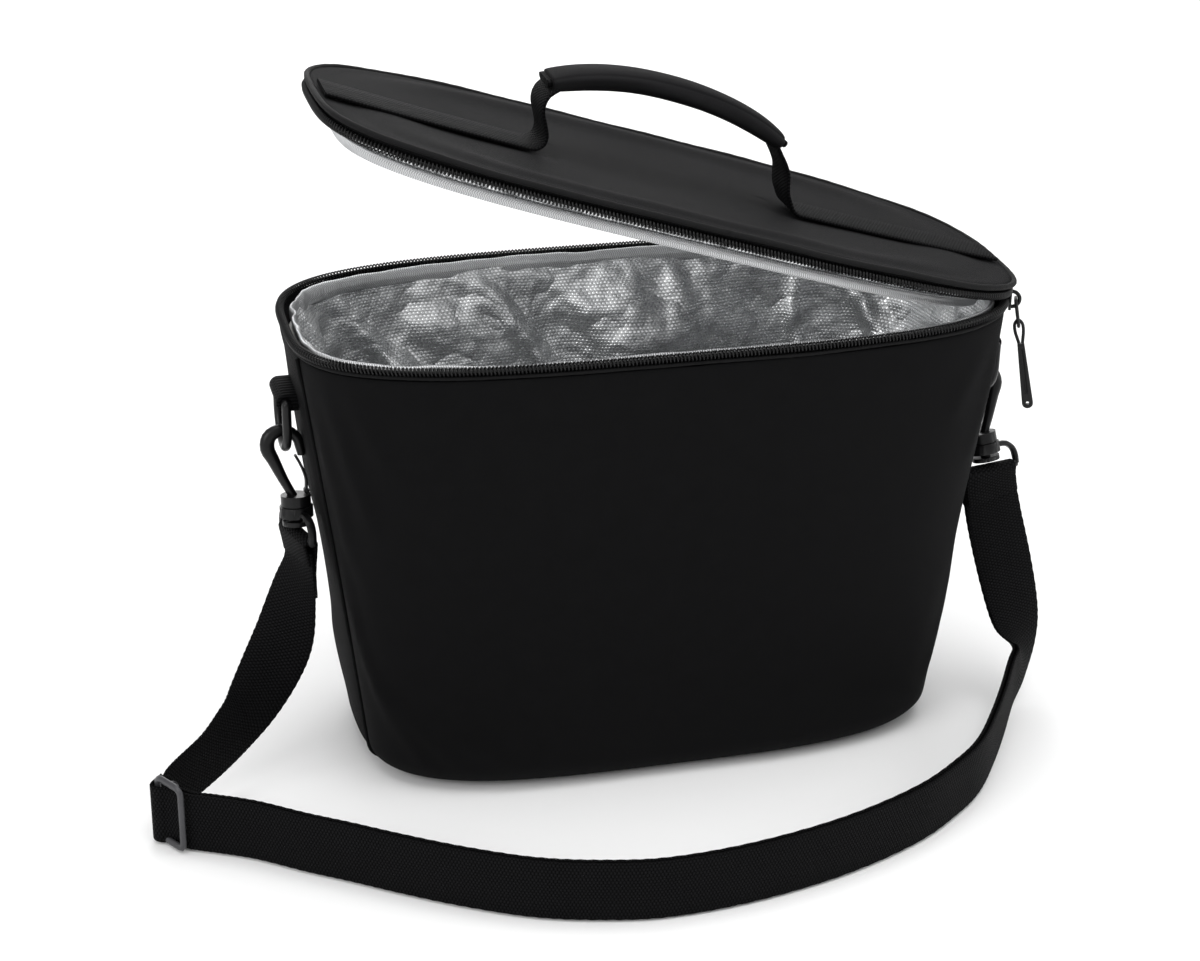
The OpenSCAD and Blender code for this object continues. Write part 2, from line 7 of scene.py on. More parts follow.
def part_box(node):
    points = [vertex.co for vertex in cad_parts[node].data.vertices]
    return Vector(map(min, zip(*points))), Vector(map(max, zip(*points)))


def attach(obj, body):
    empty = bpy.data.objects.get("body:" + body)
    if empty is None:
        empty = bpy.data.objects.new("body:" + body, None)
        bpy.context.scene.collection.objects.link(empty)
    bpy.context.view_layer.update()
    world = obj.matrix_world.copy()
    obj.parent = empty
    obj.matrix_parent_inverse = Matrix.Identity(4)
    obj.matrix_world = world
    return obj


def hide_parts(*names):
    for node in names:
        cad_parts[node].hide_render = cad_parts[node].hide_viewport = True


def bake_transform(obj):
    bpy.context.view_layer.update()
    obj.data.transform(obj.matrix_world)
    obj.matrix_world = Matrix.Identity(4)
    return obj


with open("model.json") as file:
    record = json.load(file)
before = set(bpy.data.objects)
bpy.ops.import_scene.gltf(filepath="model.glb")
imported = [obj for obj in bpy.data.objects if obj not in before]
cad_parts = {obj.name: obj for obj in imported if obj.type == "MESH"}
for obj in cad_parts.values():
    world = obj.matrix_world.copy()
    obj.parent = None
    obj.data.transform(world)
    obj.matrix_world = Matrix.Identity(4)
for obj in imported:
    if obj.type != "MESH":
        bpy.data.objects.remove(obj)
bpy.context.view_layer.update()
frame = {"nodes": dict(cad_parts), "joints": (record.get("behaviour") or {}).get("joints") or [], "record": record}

mm = 0.001
scene = bpy.context.scene
scene.view_settings.view_transform = "Standard"
lidHinge = next(joint for joint in frame["joints"] if joint["name"] == "lid_hinge")
bodyOf = {node: body for body, nodes in frame["record"]["behaviour"]["bodies"].items() for node in nodes}


# ---------- camera ----------

cameraSetup = {
    "place": (-0.3108, -1.0803, 0.644),
    "target": (-0.013, 0.0, 0.1091),
    "rollDegrees": 1.16,
    "lens": 74.63,
    "shift": (-0.0138, 0.0302),
}


def makeCamera():
    data = bpy.data.cameras.new("camera")
    data.lens = cameraSetup["lens"]
    data.shift_x, data.shift_y = cameraSetup["shift"]
    camera = bpy.data.objects.new("camera", data)
    scene.collection.objects.link(camera)
    place = Vector(cameraSetup["place"])
    ahead = Vector(cameraSetup["target"]) - place
    turn = ahead.to_track_quat("-Z", "Y").to_matrix().to_4x4()
    roll = Matrix.Rotation(math.radians(cameraSetup["rollDegrees"]), 4, "Z")
    camera.matrix_world = Matrix.Translation(place) @ turn @ roll
    scene.camera = camera


makeCamera()


# ---------- shader maths ----------

class Wire:
    # a socket that can be added, multiplied and so on
    def __init__(self, paint, socket):
        self.paint = paint
        self.socket = socket

    def run(self, operation, *others):
        sockets = {0: self}
        for place, other in enumerate(others):
            sockets[place + 1] = other
        return self.paint.node("ShaderNodeMath", {"operation": operation}, sockets)

    def backward(self, operation, other):
        return self.paint.node("ShaderNodeMath", {"operation": operation}, {0: other, 1: self})

    def __add__(self, other):
        return self.run("ADD", other)

    def __mul__(self, other):
        return self.run("MULTIPLY", other)

    def __sub__(self, other):
        return self.run("SUBTRACT", other)

    def __truediv__(self, other):
        return self.run("DIVIDE", other)

    def __rsub__(self, other):
        return self.backward("SUBTRACT", other)

    def __rtruediv__(self, other):
        return self.backward("DIVIDE", other)

    __radd__ = __add__
    __rmul__ = __mul__


class Paint:
    # one material and its nodes
    def __init__(self, name):
        self.material = bpy.data.materials.new(name)
        self.material.use_nodes = True
        self.nodes = self.material.node_tree.nodes
        self.shader = self.nodes["Principled BSDF"]

    def node(self, kind, settings=None, sockets=None, out=0):
        made = self.nodes.new(kind)
        for key, value in (settings or {}).items():
            setattr(made, key, value)
        for key, value in (sockets or {}).items():
            self.feed(made.inputs[key], value)
        return Wire(self, made.outputs[out])

    def feed(self, socket, value):
        if isinstance(value, Wire):
            self.material.node_tree.links.new(value.socket, socket)
        else:
            socket.default_value = value

    def set(self, **values):
        for key, value in values.items():
            self.feed(self.shader.inputs[key.replace("_", " ")], value)

    def place(self, mapped):
        # the piece's own UV map, or else its Object coordinates
        return self.node("ShaderNodeTexCoord", out="UV" if mapped else "Object")

    def axes(self, source):
        split = self.node("ShaderNodeSeparateXYZ", None, {0: source})
        made = split.socket.node.outputs
        return [Wire(self, made[place]) for place in range(3)]

    def cloud(self, source, scale, detail=3, roughness=0.55):
        return self.node("ShaderNodeTexNoise", None,
                         {"Vector": source, "Scale": scale, "Detail": detail, "Roughness": roughness})

    def blendColor(self, factor, first, second):
        return self.node("ShaderNodeMix", {"data_type": "RGBA"},
                         {0: factor, 6: (*first, 1), 7: (*second, 1)}, out=2)

    def bump(self, height, distance, strength=1.0):
        normal = self.node("ShaderNodeBump", None,
                           {"Height": height, "Distance": distance, "Strength": strength})
        self.set(Normal=normal)


def wholePart(wire):
    return wire.run("FLOOR")


def restPart(wire):
    return wire.run("FRACT")


def plainWeave(u, v, pitch):
    # threads that go over and under each other in turn
    across, along = u / pitch, v / pitch
    odd = (wholePart(across) + wholePart(along)).run("MODULO", 2.0).run("ABSOLUTE")
    a = (restPart(across) * math.pi).run("SINE")
    b = (restPart(along) * math.pi).run("SINE")
    return odd * a * (b * 0.4 + 0.6) + (1 - odd) * b * (a * 0.4 + 0.6)


# ---------- materials ----------

clothLook = {"body": (0.0036, 0.0036, 0.0039), "lid": (0.0078, 0.0078, 0.0083), "weave": 0.42 * mm}


def makeCloth(name, shade, mapped=True, roughness=0.78, gloss=0.07, pitch=clothLook["weave"]):
    paint = Paint(name)
    source = paint.place(mapped)
    u, v, w = paint.axes(source)
    weave = plainWeave(u, v if mapped else v + w, pitch)
    mottle = paint.cloud(source, 90, 4)
    fine = paint.cloud(source, 1400, 2)
    tone = (weave - 0.5) * 0.5 + (mottle - 0.5) * 0.7 + (fine - 0.5) * 0.8 + 0.5
    dark = tuple(0.5 * c for c in shade)
    light = tuple(1.6 * c for c in shade)
    paint.set(Base_Color=paint.blendColor(tone, dark, light),
              Roughness=roughness + (mottle - 0.5) * 0.12,
              Specular_IOR_Level=gloss)
    paint.bump(weave + (mottle - 0.5) * 0.6 + (fine - 0.5) * 0.5, 0.16 * mm, 0.8)
    return paint.material


webLook = {"shade": (0.0036, 0.0036, 0.0039), "rib": 1.7 * mm, "column": 1.5 * mm}


def makeWebbing(name, mapped=True):
    # ribs across the webbing, each column of threads half a rib further on
    paint = Paint(name)
    source = paint.place(mapped)
    u, v, w = paint.axes(source)
    if not mapped:
        u, v = v, w
    column = u / webLook["column"]
    shift = wholePart(column).run("MODULO", 2.0) * 0.5
    rib = (restPart(v / webLook["rib"] + shift) * math.pi).run("SINE")
    cord = (restPart(column) * math.pi).run("SINE")
    height = rib * (cord * 0.5 + 0.5)
    fuzz = paint.cloud(source, 900, 3)
    wearAndCreaseShade = paint.cloud(source, 45, 3)
    # painted highlight and shade: rib tops are coloured lighter and the grooves between them darker, while the two
    # clouds add tone at random
    tone = height * 0.9 + fuzz * 0.3 + wearAndCreaseShade * 0.2 - 0.25
    dark = tuple(0.1 * c for c in webLook["shade"])
    light = tuple(2.4 * c for c in webLook["shade"])
    paint.set(Base_Color=paint.blendColor(tone, dark, light),
              Roughness=0.8 - height * 0.2, Specular_IOR_Level=0.045)
    paint.bump(height + fuzz * 0.25, 0.5 * mm, 1.0)
    return paint.material


foilLook = {"shade": (0.93, 0.94, 0.95), "dot": 1.9 * mm, "roughness": 0.2, "crumple": 13 * mm}


def makeFoil(name):
    # rows of small embossed dots on crumpled foil, its colour darker along the creases as painted shade
    paint = Paint(name)
    source = paint.place(True)
    u, v, w = paint.axes(source)
    row = v / (foilLook["dot"] * 0.866)
    across = u / foilLook["dot"] + wholePart(row).run("MODULO", 2.0) * 0.5
    x, y = restPart(across) - 0.5, restPart(row) - 0.5
    far = (x * x + y * y * 0.75).run("SQRT")
    dot = paint.node("ShaderNodeMapRange", {"interpolation_type": "SMOOTHSTEP"},
                     {"Value": far, "From Min": 0.24, "From Max": 0.46, "To Min": 1.0, "To Max": 0.0})
    crease = paint.cloud(source, 26, 3, 0.5)
    smear = paint.cloud(source, 140, 3)
    # painted shade: the foil's colour is darkened along the creases of the crumple cloud
    wearAndCreaseShade = paint.node("ShaderNodeMapRange", None,
                      {"Value": crease, "From Min": 0.34, "From Max": 0.58, "To Min": 0.72, "To Max": 1.0})
    between = tuple(0.46 * c for c in foilLook["shade"])
    bright = paint.blendColor((dot * 0.7 + 0.3) * wearAndCreaseShade, between, foilLook["shade"])
    paint.set(Base_Color=bright, Metallic=0.92, Specular_IOR_Level=0.5,
              Roughness=foilLook["roughness"] + (1 - dot) * 0.2 + (smear - 0.5) * 0.16)
    first = paint.node("ShaderNodeBump", None,
                       {"Height": (crease - 0.5).run("ABSOLUTE"), "Distance": foilLook["crumple"],
                        "Strength": 0.85})
    second = paint.node("ShaderNodeBump", None,
                        {"Height": dot, "Distance": 0.16 * mm, "Strength": 0.8, "Normal": first})
    paint.set(Normal=second)
    return paint.material


def makeFoldedFoil(name):
    # folded binding with a fine herringbone
    paint = Paint(name)
    source = paint.place(True)
    u, v, w = paint.axes(source)
    zig = (restPart(v / (3.4 * mm)) - 0.5).run("ABSOLUTE") * 2.0
    rib = (restPart(u / (1.1 * mm) + zig) * math.pi).run("SINE")
    cloudy = paint.cloud(source, 260, 3)
    paint.set(Base_Color=paint.blendColor(rib * 0.7 + cloudy * 0.3, (0.16, 0.16, 0.165), (0.74, 0.75, 0.76)),
              Metallic=0.9, Roughness=0.34 + cloudy * 0.15, Specular_IOR_Level=0.5)
    paint.bump(rib + cloudy * 0.4, 0.2 * mm, 0.8)
    return paint.material


def makeMoulding(name, shade, roughness=0.34, metallic=0.0, gloss=0.24, grain=0.05):
    paint = Paint(name)
    source = paint.place(False)
    fine = paint.cloud(source, 2600, 2)
    broad = paint.cloud(source, 130, 4)
    dark, light = tuple(0.75 * c for c in shade), tuple(1.3 * c for c in shade)
    paint.set(Base_Color=paint.blendColor(broad, dark, light),
              Roughness=roughness + (broad - 0.5) * 0.22 + (fine - 0.5) * 0.1,
              Metallic=metallic, Specular_IOR_Level=gloss)
    paint.bump(fine + broad * 0.8, grain * mm, 0.7)
    return paint.material


def makeFoam(name, shade, scale):
    paint = Paint(name)
    source = paint.place(False)
    cells = paint.node("ShaderNodeTexVoronoi", None, {"Vector": source, "Scale": scale})
    paint.set(Base_Color=paint.blendColor(cells, tuple(0.8 * c for c in shade), shade),
              Roughness=0.9 - cells * 0.1)
    paint.bump(cells, 0.4 * mm, 0.6)
    return paint.material


materials = {
    "bodyCloth": makeCloth("bodyCloth", clothLook["body"]),
    "lidCloth": makeCloth("lidCloth", clothLook["lid"]),
    "weltCloth": makeCloth("weltCloth", (0.0042, 0.0042, 0.0045), roughness=0.66, gloss=0.14),
    "tape": makeCloth("tape", (0.004, 0.004, 0.0044), roughness=0.7, pitch=0.6 * mm),
    "webbing": makeWebbing("webbing"),
    "rolledWebbing": makeWebbing("rolledWebbing", mapped=False),
    "foil": makeFoil("foil"),
    "hem": makeFoldedFoil("hem"),
    "coil": makeMoulding("coil", (0.0032, 0.0032, 0.0035), 0.32, gloss=0.28),
    "blackMoulding": makeMoulding("blackMoulding", (0.0036, 0.0036, 0.004), 0.32),
    "blackEnamel": makeMoulding("blackEnamel", (0.0032, 0.0032, 0.0036), 0.28),
    "greySatin": makeMoulding("greySatin", (0.05, 0.05, 0.054), 0.36, 0.4, 0.4),
    "thread": makeCloth("thread", (0.007, 0.007, 0.0075), mapped=False, roughness=0.5, gloss=0.3,
                        pitch=0.3 * mm),
    "foam": makeFoam("foam", (0.78, 0.78, 0.76), 900),
    "board": makeFoam("board", (0.33, 0.32, 0.3), 500),
}
print("materials made")


# ---------- geometry of the bag ----------

def middle(node):
    low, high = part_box(node)
    return (low + high) / 2


coilLow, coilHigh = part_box("body_zip_coil")
bag = {
    "rimHeight": round((coilLow.z + coilHigh.z) / 2 + 0.1 * mm, 4),
    "baseHalfLength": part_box("base_panel")[1].x + 12.3 * mm,
    "baseHalfDepth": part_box("base_panel")[1].y + 12.3 * mm,
    "rimHalfLength": -coilLow.x - 0.35 * mm,
    "rimHalfDepth": coilHigh.y - 0.35 * mm,
    "panelTop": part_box("front_panel")[1].z + 5 * mm,
    "squareness": 3.4,
    "flare": 1.1,
    "baseEdge": 12 * mm,
    "seamHalfWidth": 28 * mm,
}
seamAngle = math.degrees(math.asin((bag["seamHalfWidth"] / bag["rimHalfDepth"]) ** (bag["squareness"] / 2)))


def signedPower(value, power):
    return math.copysign(abs(value) ** power, value)


def outline(a, b, degrees):
    c, s = math.cos(math.radians(degrees)), math.sin(math.radians(degrees))
    power = 2 / bag["squareness"]
    return a * signedPower(c, power), b * signedPower(s, power)


def halfSizes(z):
    share = (max(0.0, z) / bag["rimHeight"]) ** bag["flare"]
    return (bag["baseHalfLength"] + (bag["rimHalfLength"] - bag["baseHalfLength"]) * share,
            bag["baseHalfDepth"] + (bag["rimHalfDepth"] - bag["baseHalfDepth"]) * share)


def rimPoint(degrees, z, inset=0.0):
    a, b = halfSizes(min(z, bag["rimHeight"]))
    x, y = outline(a - inset, b - inset, degrees)
    return Vector((x, y, z))


def wallPoint(degrees, reach, depth, top):
    # reach runs from 0 at the flat base, round the turned edge, to 1 at the top
    edge = bag["baseEdge"]
    arc = edge * math.pi / 2
    run = reach * (arc + top - edge)
    if run < arc:
        bend = run / edge
        out, up = math.sin(bend), math.cos(bend)
        z, turnIn = edge * (1 - up), edge * (1 - out)
    else:
        z, turnIn, out, up = edge + run - arc, 0.0, 1.0, 0.0
    a, b = halfSizes(z)
    inset = turnIn + depth * out
    x, y = outline(a - inset, b - inset, degrees)
    return Vector((x, y, z + depth * up))


def outward(degrees):
    # direction straight out of the wall at an angle round the bag
    first, second = rimPoint(degrees - 0.5, 0.1), rimPoint(degrees + 0.5, 0.1)
    way = second - first
    return Vector((way.y, -way.x, 0)).normalized()


lidPivot = Vector(lidHinge["pos_m"])
lidTurn = Matrix.Rotation(math.radians(-lidHinge["range_deg"][0]), 4, Vector(lidHinge["axis"]))
openLid = Matrix.Translation(lidPivot) @ lidTurn @ Matrix.Translation(-lidPivot)


# ---------- mesh helpers ----------

def deselect():
    bpy.ops.object.select_all(action="DESELECT")


def addMesh(name, points, faces):
    mesh = bpy.data.meshes.new(name)
    mesh.from_pydata([tuple(p) for p in points], [], faces)
    mesh.update()
    piece = bpy.data.objects.new(name, mesh)
    scene.collection.objects.link(piece)
    return piece


def smooth(piece, degrees=None):
    deselect()
    piece.select_set(True)
    bpy.context.view_layer.objects.active = piece
    if degrees is None:
        bpy.ops.object.shade_smooth()
    else:
        bpy.ops.object.shade_smooth_by_angle(angle=math.radians(degrees))


def addModifier(piece, kind, **settings):
    modifier = piece.modifiers.new(kind.lower(), kind)
    for key, value in settings.items():
        setattr(modifier, key, value)
    return modifier


def applyModifiers(piece):
    deselect()
    piece.select_set(True)
    bpy.context.view_layer.objects.active = piece
    for modifier in list(piece.modifiers):
        bpy.ops.object.modifier_apply(modifier=modifier.name)


def finishPiece(piece, body, material, replaced=()):
    piece.data.materials.clear()
    piece.data.materials.append(materials[material])
    if body:
        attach(piece, body)
    if replaced:
        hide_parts(*replaced)
    return piece


def stretchLengths(points, closed):
    total = [0.0]
    for first, second in zip(points, points[1:] + (points[:1] if closed else [])):
        total.append(total[-1] + (second - first).length)
    return total


def clothGrid(name, rows, ring=False, loop=False, caps=False, flip=False, fan=False):
    # rows of points joined by squares, with a UV map in metres; ring closes each row, loop closes the rows,
    # caps closes both ends with one face and fan closes the last row with triangles
    wide, tall = len(rows[0]), len(rows)
    points = [p for row in rows for p in row]
    acrossAt = stretchLengths(rows[tall // 2], ring)
    alongAt = stretchLengths([row[0] for row in rows], loop)
    faces, spots = [], []
    for i in range(tall if loop else tall - 1):
        for j in range(wide if ring else wide - 1):
            i2, j2 = (i + 1) % tall, (j + 1) % wide
            face = [i * wide + j, i * wide + j2, i2 * wide + j2, i2 * wide + j]
            spot = [(acrossAt[j], alongAt[i]), (acrossAt[j + 1], alongAt[i]),
                    (acrossAt[j + 1], alongAt[i + 1]), (acrossAt[j], alongAt[i + 1])]
            faces.append(face[::-1] if flip else face)
            spots.append(spot[::-1] if flip else spot)
    if caps:
        for start, back in ((0, not flip), ((tall - 1) * wide, flip)):
            order = list(range(wide))
            face = [start + j for j in (order[::-1] if back else order)]
            faces.append(face)
            spots.append([(acrossAt[n - start], 0.0) for n in face])
    if fan:
        points.append(sum(rows[-1], Vector()) / wide)
        start, high = (tall - 1) * wide, alongAt[tall - 1]
        for j in range(wide):
            face = [start + j, start + (j + 1) % wide, len(points) - 1]
            faces.append(face[::-1] if flip else face)
            spots.append([(acrossAt[j], high)] * 3)
    piece = addMesh(name, points, faces)
    layer = piece.data.uv_layers.new(name="cut")
    layer.data.foreach_set("uv", [c for spot in spots for pair in spot for c in pair])
    smooth(piece)
    return piece


def mapFlat(piece):
    # the cut of a flat panel: its own x and y in metres
    layer = piece.data.uv_layers["cut"].data
    for polygon in piece.data.polygons:
        for corner in polygon.loop_indices:
            p = piece.data.vertices[piece.data.loops[corner].vertex_index].co
            layer[corner].uv = (p.x, p.y)


def splinePoints(points, steps):
    # the curve that passes through every point, as in the design
    made = []
    last = len(points) - 1
    for i in range(last):
        p0, p1, p2, p3 = points[max(i - 1, 0)], points[i], points[i + 1], points[min(i + 2, last)]
        for k in range(steps):
            s = k / steps
            made.append(0.5 * (2 * p1 + (p2 - p0) * s + (2 * p0 - 5 * p1 + 4 * p2 - p3) * s * s
                               + (3 * p1 - p0 - 3 * p2 + p3) * s ** 3))
    made.append(points[last])
    return made


def tangentAt(path, i, closed=False):
    last = len(path) - 1
    if closed:
        return (path[(i + 1) % len(path)] - path[i - 1]).normalized()
    return (path[min(i + 1, last)] - path[max(i - 1, 0)]).normalized()


def tube(name, path, radius, sides=10, closed=False, up=Vector((0, 0, 1)), flat=1.0):
    # radius is a number or a function of the ring's number; flat squeezes it along up
    rows = []
    for i, point in enumerate(path):
        ahead = tangentAt(path, i, closed)
        side = up.cross(ahead).normalized()
        over = ahead.cross(side)
        r = radius(i) if callable(radius) else radius
        rows.append([point + side * r * math.cos(2 * math.pi * k / sides)
                     + over * r * flat * math.sin(2 * math.pi * k / sides) for k in range(sides)])
    return clothGrid(name, rows, ring=True, loop=closed, caps=not closed)


def wobble(point, scale, height):
    return noise.noise(point * scale) * height


def joinPieces(name, pieces):
    deselect()
    for piece in pieces:
        piece.select_set(True)
    bpy.context.view_layer.objects.active = pieces[0]
    bpy.ops.object.join()
    pieces[0].name = name
    return pieces[0]


def spread(first, last, count):
    return [first + (last - first) * i / (count - 1) for i in range(count)]


def evenAngles(fine, count, z):
    # angles out of a fine list that lie at equal steps along the wall at a height
    lengths = stretchLengths([rimPoint(angle, z) for angle in fine], False)
    made, at = [], 0
    for step in spread(0.0, lengths[-1], count):
        while at < len(lengths) - 1 and lengths[at] < step:
            at += 1
        made.append(fine[at])
    return made


def roundAngles(first, last, count):
    return evenAngles([first + (last - first) * k / 3000 for k in range(3001)], count, bag["rimHeight"])


# ---------- shoulder strap ----------

strap = {
    "width": 30 * mm,
    "thickness": 1.6 * mm,
    "stand": 15.5,
    "layerStep": 2.5 * mm,
    "glideRow": 11,
    "steps": 10,
    # round the adjuster's outer bar: distance along the webbing and out from its line, heading of the face
    "turn": [(-14.6, -5.4, 152), (-13.2, -1.6, 134), (-11.9, 2, 124), (-10.5, 4.4, 160), (-8, 5.1, 208),
             (-5.4, 4, 236), (-3, 2, 246), (0.8, 0.3, 232), (5.2, -0.9, 222)],
}
stand = strap["stand"]
# middle line in millimetres and the heading that the webbing's face turns to
strapRoute = [
    (-173.4, -8.5, 116, 16), (-173.5, -9, 103, 20), (-177, -10, 89, 36), (-183, -14, 69, 60),
    (-191, -20, 55, 80), (-202, -28, 41, 100), (-212, -36, 33, 115), (-223, -44, 26, 130),
    (-236, -52, 20, 140), (-246, -60, 17, 165), (-249, -69, stand, 195),
    (-245, -78, stand, 212), (-238, -85, stand, 225), (-226, -91, stand, 238),
    (-210, -100, stand, 234), (-190, -115, stand, 234), (-171, -128, stand, 234),
    (-150, -143, stand, 236), (-124, -160, stand, 238), (-96, -175, stand, 243),
    (-68, -184, stand, 253), (-37, -189, stand, 262), (5, -186, stand, 275),
    (52, -175, stand, 285), (95, -157, stand, 295), (124, -137, stand, 303),
    (141, -121, stand, 312), (157, -99, stand, 325), (172, -76, stand + 1, 327),
    (186, -53, 18, 327), (195, -41, 22, 318), (198, -32, 31, 302),
    (196, -25, 47, 286), (190.5, -19, 72, 276), (185, -15.5, 95, 277), (180.5, -14, 116, 282),
]


def facingOf(row):
    return Vector((math.cos(math.radians(row[3])), math.sin(math.radians(row[3])), 0))


def turnRows():
    # the webbing comes from behind the adjuster, round its outer bar and in through its slot
    middleRow = strapRoute[strap["glideRow"]]
    out = facingOf(middleRow)
    along = Vector((-out.y, out.x, 0))
    rows = []
    for distance, step, heading in strap["turn"]:
        place = Vector(middleRow[:3]) + along * distance + out * step
        rows.append((*place, heading))
    return rows


def webbingRows(path, faces, width, thickness, wave=0.0):
    # twelve points round the webbing's flat section, its edges slightly scalloped
    rows = []
    for i, point in enumerate(path):
        ahead = tangentAt(path, i)
        side = faces[i].cross(ahead).normalized()
        over = ahead.cross(side)
        half = width / 2 + (wave if i % 2 else -wave)
        t = thickness / 2
        lower = [(-half, -t * 0.45), (-half + t, -t), (-half / 3, -t), (half / 3, -t), (half - t, -t),
                 (half, -t * 0.45)]
        section = lower + [(a, -b) for a, b in reversed(lower)]
        rows.append([point + side * a + over * b for a, b in section])
    return rows


def mapWebbing(piece, wide, tall, width, path):
    # UV: across the webbing from edge to edge and along it, the same on both faces
    across = [0, 0.05, 0.33, 0.67, 0.95, 1, 1, 0.95, 0.67, 0.33, 0.05, 0]
    along = stretchLengths(path, False)
    layer = piece.data.uv_layers["cut"].data
    for polygon in piece.data.polygons:
        for corner in polygon.loop_indices:
            number = piece.data.loops[corner].vertex_index
            i, j = divmod(number, wide)
            layer[corner].uv = (across[j] * width, along[i])


def makeRibbon(name, path, faces, width, thickness, wave=0.0, subdivide=0):
    rows = webbingRows(path, faces, width, thickness, wave)
    piece = clothGrid(name, rows, ring=True, caps=True)
    mapWebbing(piece, len(rows[0]), len(rows), width, path)
    if subdivide:
        addModifier(piece, "SUBSURF", levels=subdivide, render_levels=subdivide)
        applyModifiers(piece)
    smooth(piece, 50)
    return piece


def makeStrapRun(name, rows, inward):
    points = [Vector(row[:3]) * mm - facingOf(row) * inward for row in rows]
    path = splinePoints(points, strap["steps"])
    faces = splinePoints([facingOf(row) for row in rows], strap["steps"])
    return makeRibbon(name, path, faces, strap["width"], strap["thickness"], 0.12 * mm), path


def makeStrapLoop(name, bar, heading, lead, tail):
    # webbing over a swivel's bar: up from the lead points, round the bar and down the tail points
    face = Vector((math.cos(math.radians(heading)), math.sin(math.radians(heading)), 0))
    centre = Vector(bar) * mm
    points = [Vector(spot) * mm for spot in lead]
    faces = [face] * len(lead)
    for degrees in range(0, 181, 30):
        way = face * math.cos(math.radians(degrees)) + Vector((0, 0, 1)) * math.sin(math.radians(degrees))
        points.append(centre + way * 3.1 * mm)
        faces.append(way)
    points += [Vector(spot) * mm for spot in tail]
    faces += [-face] * len(tail)
    path, faces = splinePoints(points, 4), splinePoints(faces, 4)
    piece = makeRibbon(name, path, faces, strap["width"] - 0.2 * mm, strap["thickness"], 0.1 * mm)
    finishPiece(piece, "root", "webbing")


def makeStrap():
    makeStrapLoop("strapLoopLeft", (-173.2, -7.9, 119.9), 16,
                  [(-171.5, -9.1, 92), (-171.6, -8.3, 104), (-170.6, -7.4, 115)],
                  [(-175.2, -8.8, 115), (-174.2, -9, 109)])
    makeStrapLoop("strapLoopRight", (180.1, -12.5, 120.7), 282,
                  [(183, -15.5, 106), (181.3, -15.2, 115)], [(179.8, -11, 115), (181.3, -12, 106)])
    before, after = strapRoute[:strap["glideRow"] - 1], strapRoute[strap["glideRow"] + 1:]
    runs = {
        "strapMain": ("strap_main", before + turnRows() + after, 0.0),
        "strapReturn": ("strap_return", strapRoute[strap["glideRow"]:], strap["layerStep"]),
    }
    for name, (node, rows, inward) in runs.items():
        piece, path = makeStrapRun(name, rows, inward)
        finishPiece(piece, "root", "webbing", [node])
        length = stretchLengths(path, False)[-1]
        ["triGlide", "strapLoopLeft", "strapLoopRight"] if name == "strapMain" else []
        print(name, "length", round(length, 4))


# ---------- body ----------

body = {
    "columns": {"front": 84, "back": 84, "left": 20, "right": 20},
    "rows": 60,
    "bulge": 2.4 * mm,
    "foldGain": 1.5,
    "easing": 11 * mm,
    "growth": 0.012,
    "frames": 16,
    "cap": 4 * mm,
    "thickness": 1.2 * mm,
    "seamWeltRadius": 1.0 * mm,
}
# soft folds of the skin: from and to as (angle round the bag, height), then half width and rise
bodyFolds = [
    ((197, 205), (205, 120), 5, 1.6), ((206, 208), (216, 140), 6, 1.5), ((216, 210), (226, 168), 6, 1.1),
    ((201, 120), (206, 60), 6, -1.0), ((197, 95), (212, 30), 5, 1.2), ((204, 66), (222, 16), 5, 1.3),
    ((212, 50), (236, 14), 5, 1.0), ((228, 36), (252, 12), 6, 0.8), ((336, 205), (328, 150), 8, 1.2),
    ((322, 209), (312, 176), 9, 0.8), ((341, 90), (330, 24), 7, 1.0), ((300, 34), (332, 14), 6, 0.8),
    ((172, 200), (176, 130), 6, 1.3), ((186, 190), (188, 110), 6, 1.1), ((180, 70), (172, 20), 6, 1.0),
    ((20, 200), (30, 130), 7, 1.3), ((150, 204), (141, 140), 7, 1.4), ((60, 60), (36, 16), 7, 1.0),
    ((120, 50), (148, 16), 7, 1.0), ((2, 190), (-4, 96), 7, 1.2), ((6, 60), (-3, 20), 6, 0.9),
]


def foldHeight(degrees, z):
    total = 0.0
    for (a0, z0), (a1, z1), width, rise in bodyFolds:
        near = (degrees - (a0 + a1) / 2 + 180) % 360 - 180 + (a0 + a1) / 2
        x, y = (near - a0) * 2.3, z / mm - z0
        dx, dy = (a1 - a0) * 2.3, z1 - z0
        along = (x * dx + y * dy) / (dx * dx + dy * dy)
        off = abs(x * dy - y * dx) / math.hypot(dx, dy)
        fade = max(0.0, min(1.0, min(along + 0.15, 1.15 - along) * 3))
        total += rise * fade * math.exp(-(off / width) ** 2)
    return total * mm


def skinPoint(degrees, reach, seamGap):
    # the padded skin: it swells between the seams and dips into each of them
    top = bag["panelTop"]
    base = wallPoint(degrees, reach, 0.0, top)
    below = (1 - reach) * top
    swell = (1 - math.exp(-seamGap / body["easing"])) * (1 - math.exp(-below / body["easing"]))
    low = math.exp(-((base.z - 45 * mm) / (40 * mm)) ** 2)
    turned = min(1.0, base.z / bag["baseEdge"])
    rise = body["bulge"] * (0.75 + 0.5 * low) * swell + body["foldGain"] * foldHeight(degrees, base.z) * swell
    rise += wobble(base, 17, 0.9 * mm) * swell
    return base + outward(degrees) * rise * turned


def seamDistance(degrees):
    # how far round the wall the nearest seam is
    gaps = []
    for seam in (seamAngle, 180 - seamAngle, 180 + seamAngle, 360 - seamAngle):
        away = abs((degrees - seam + 180) % 360 - 180)
        gaps.append(away * 2.4 * mm)
    return min(gaps)


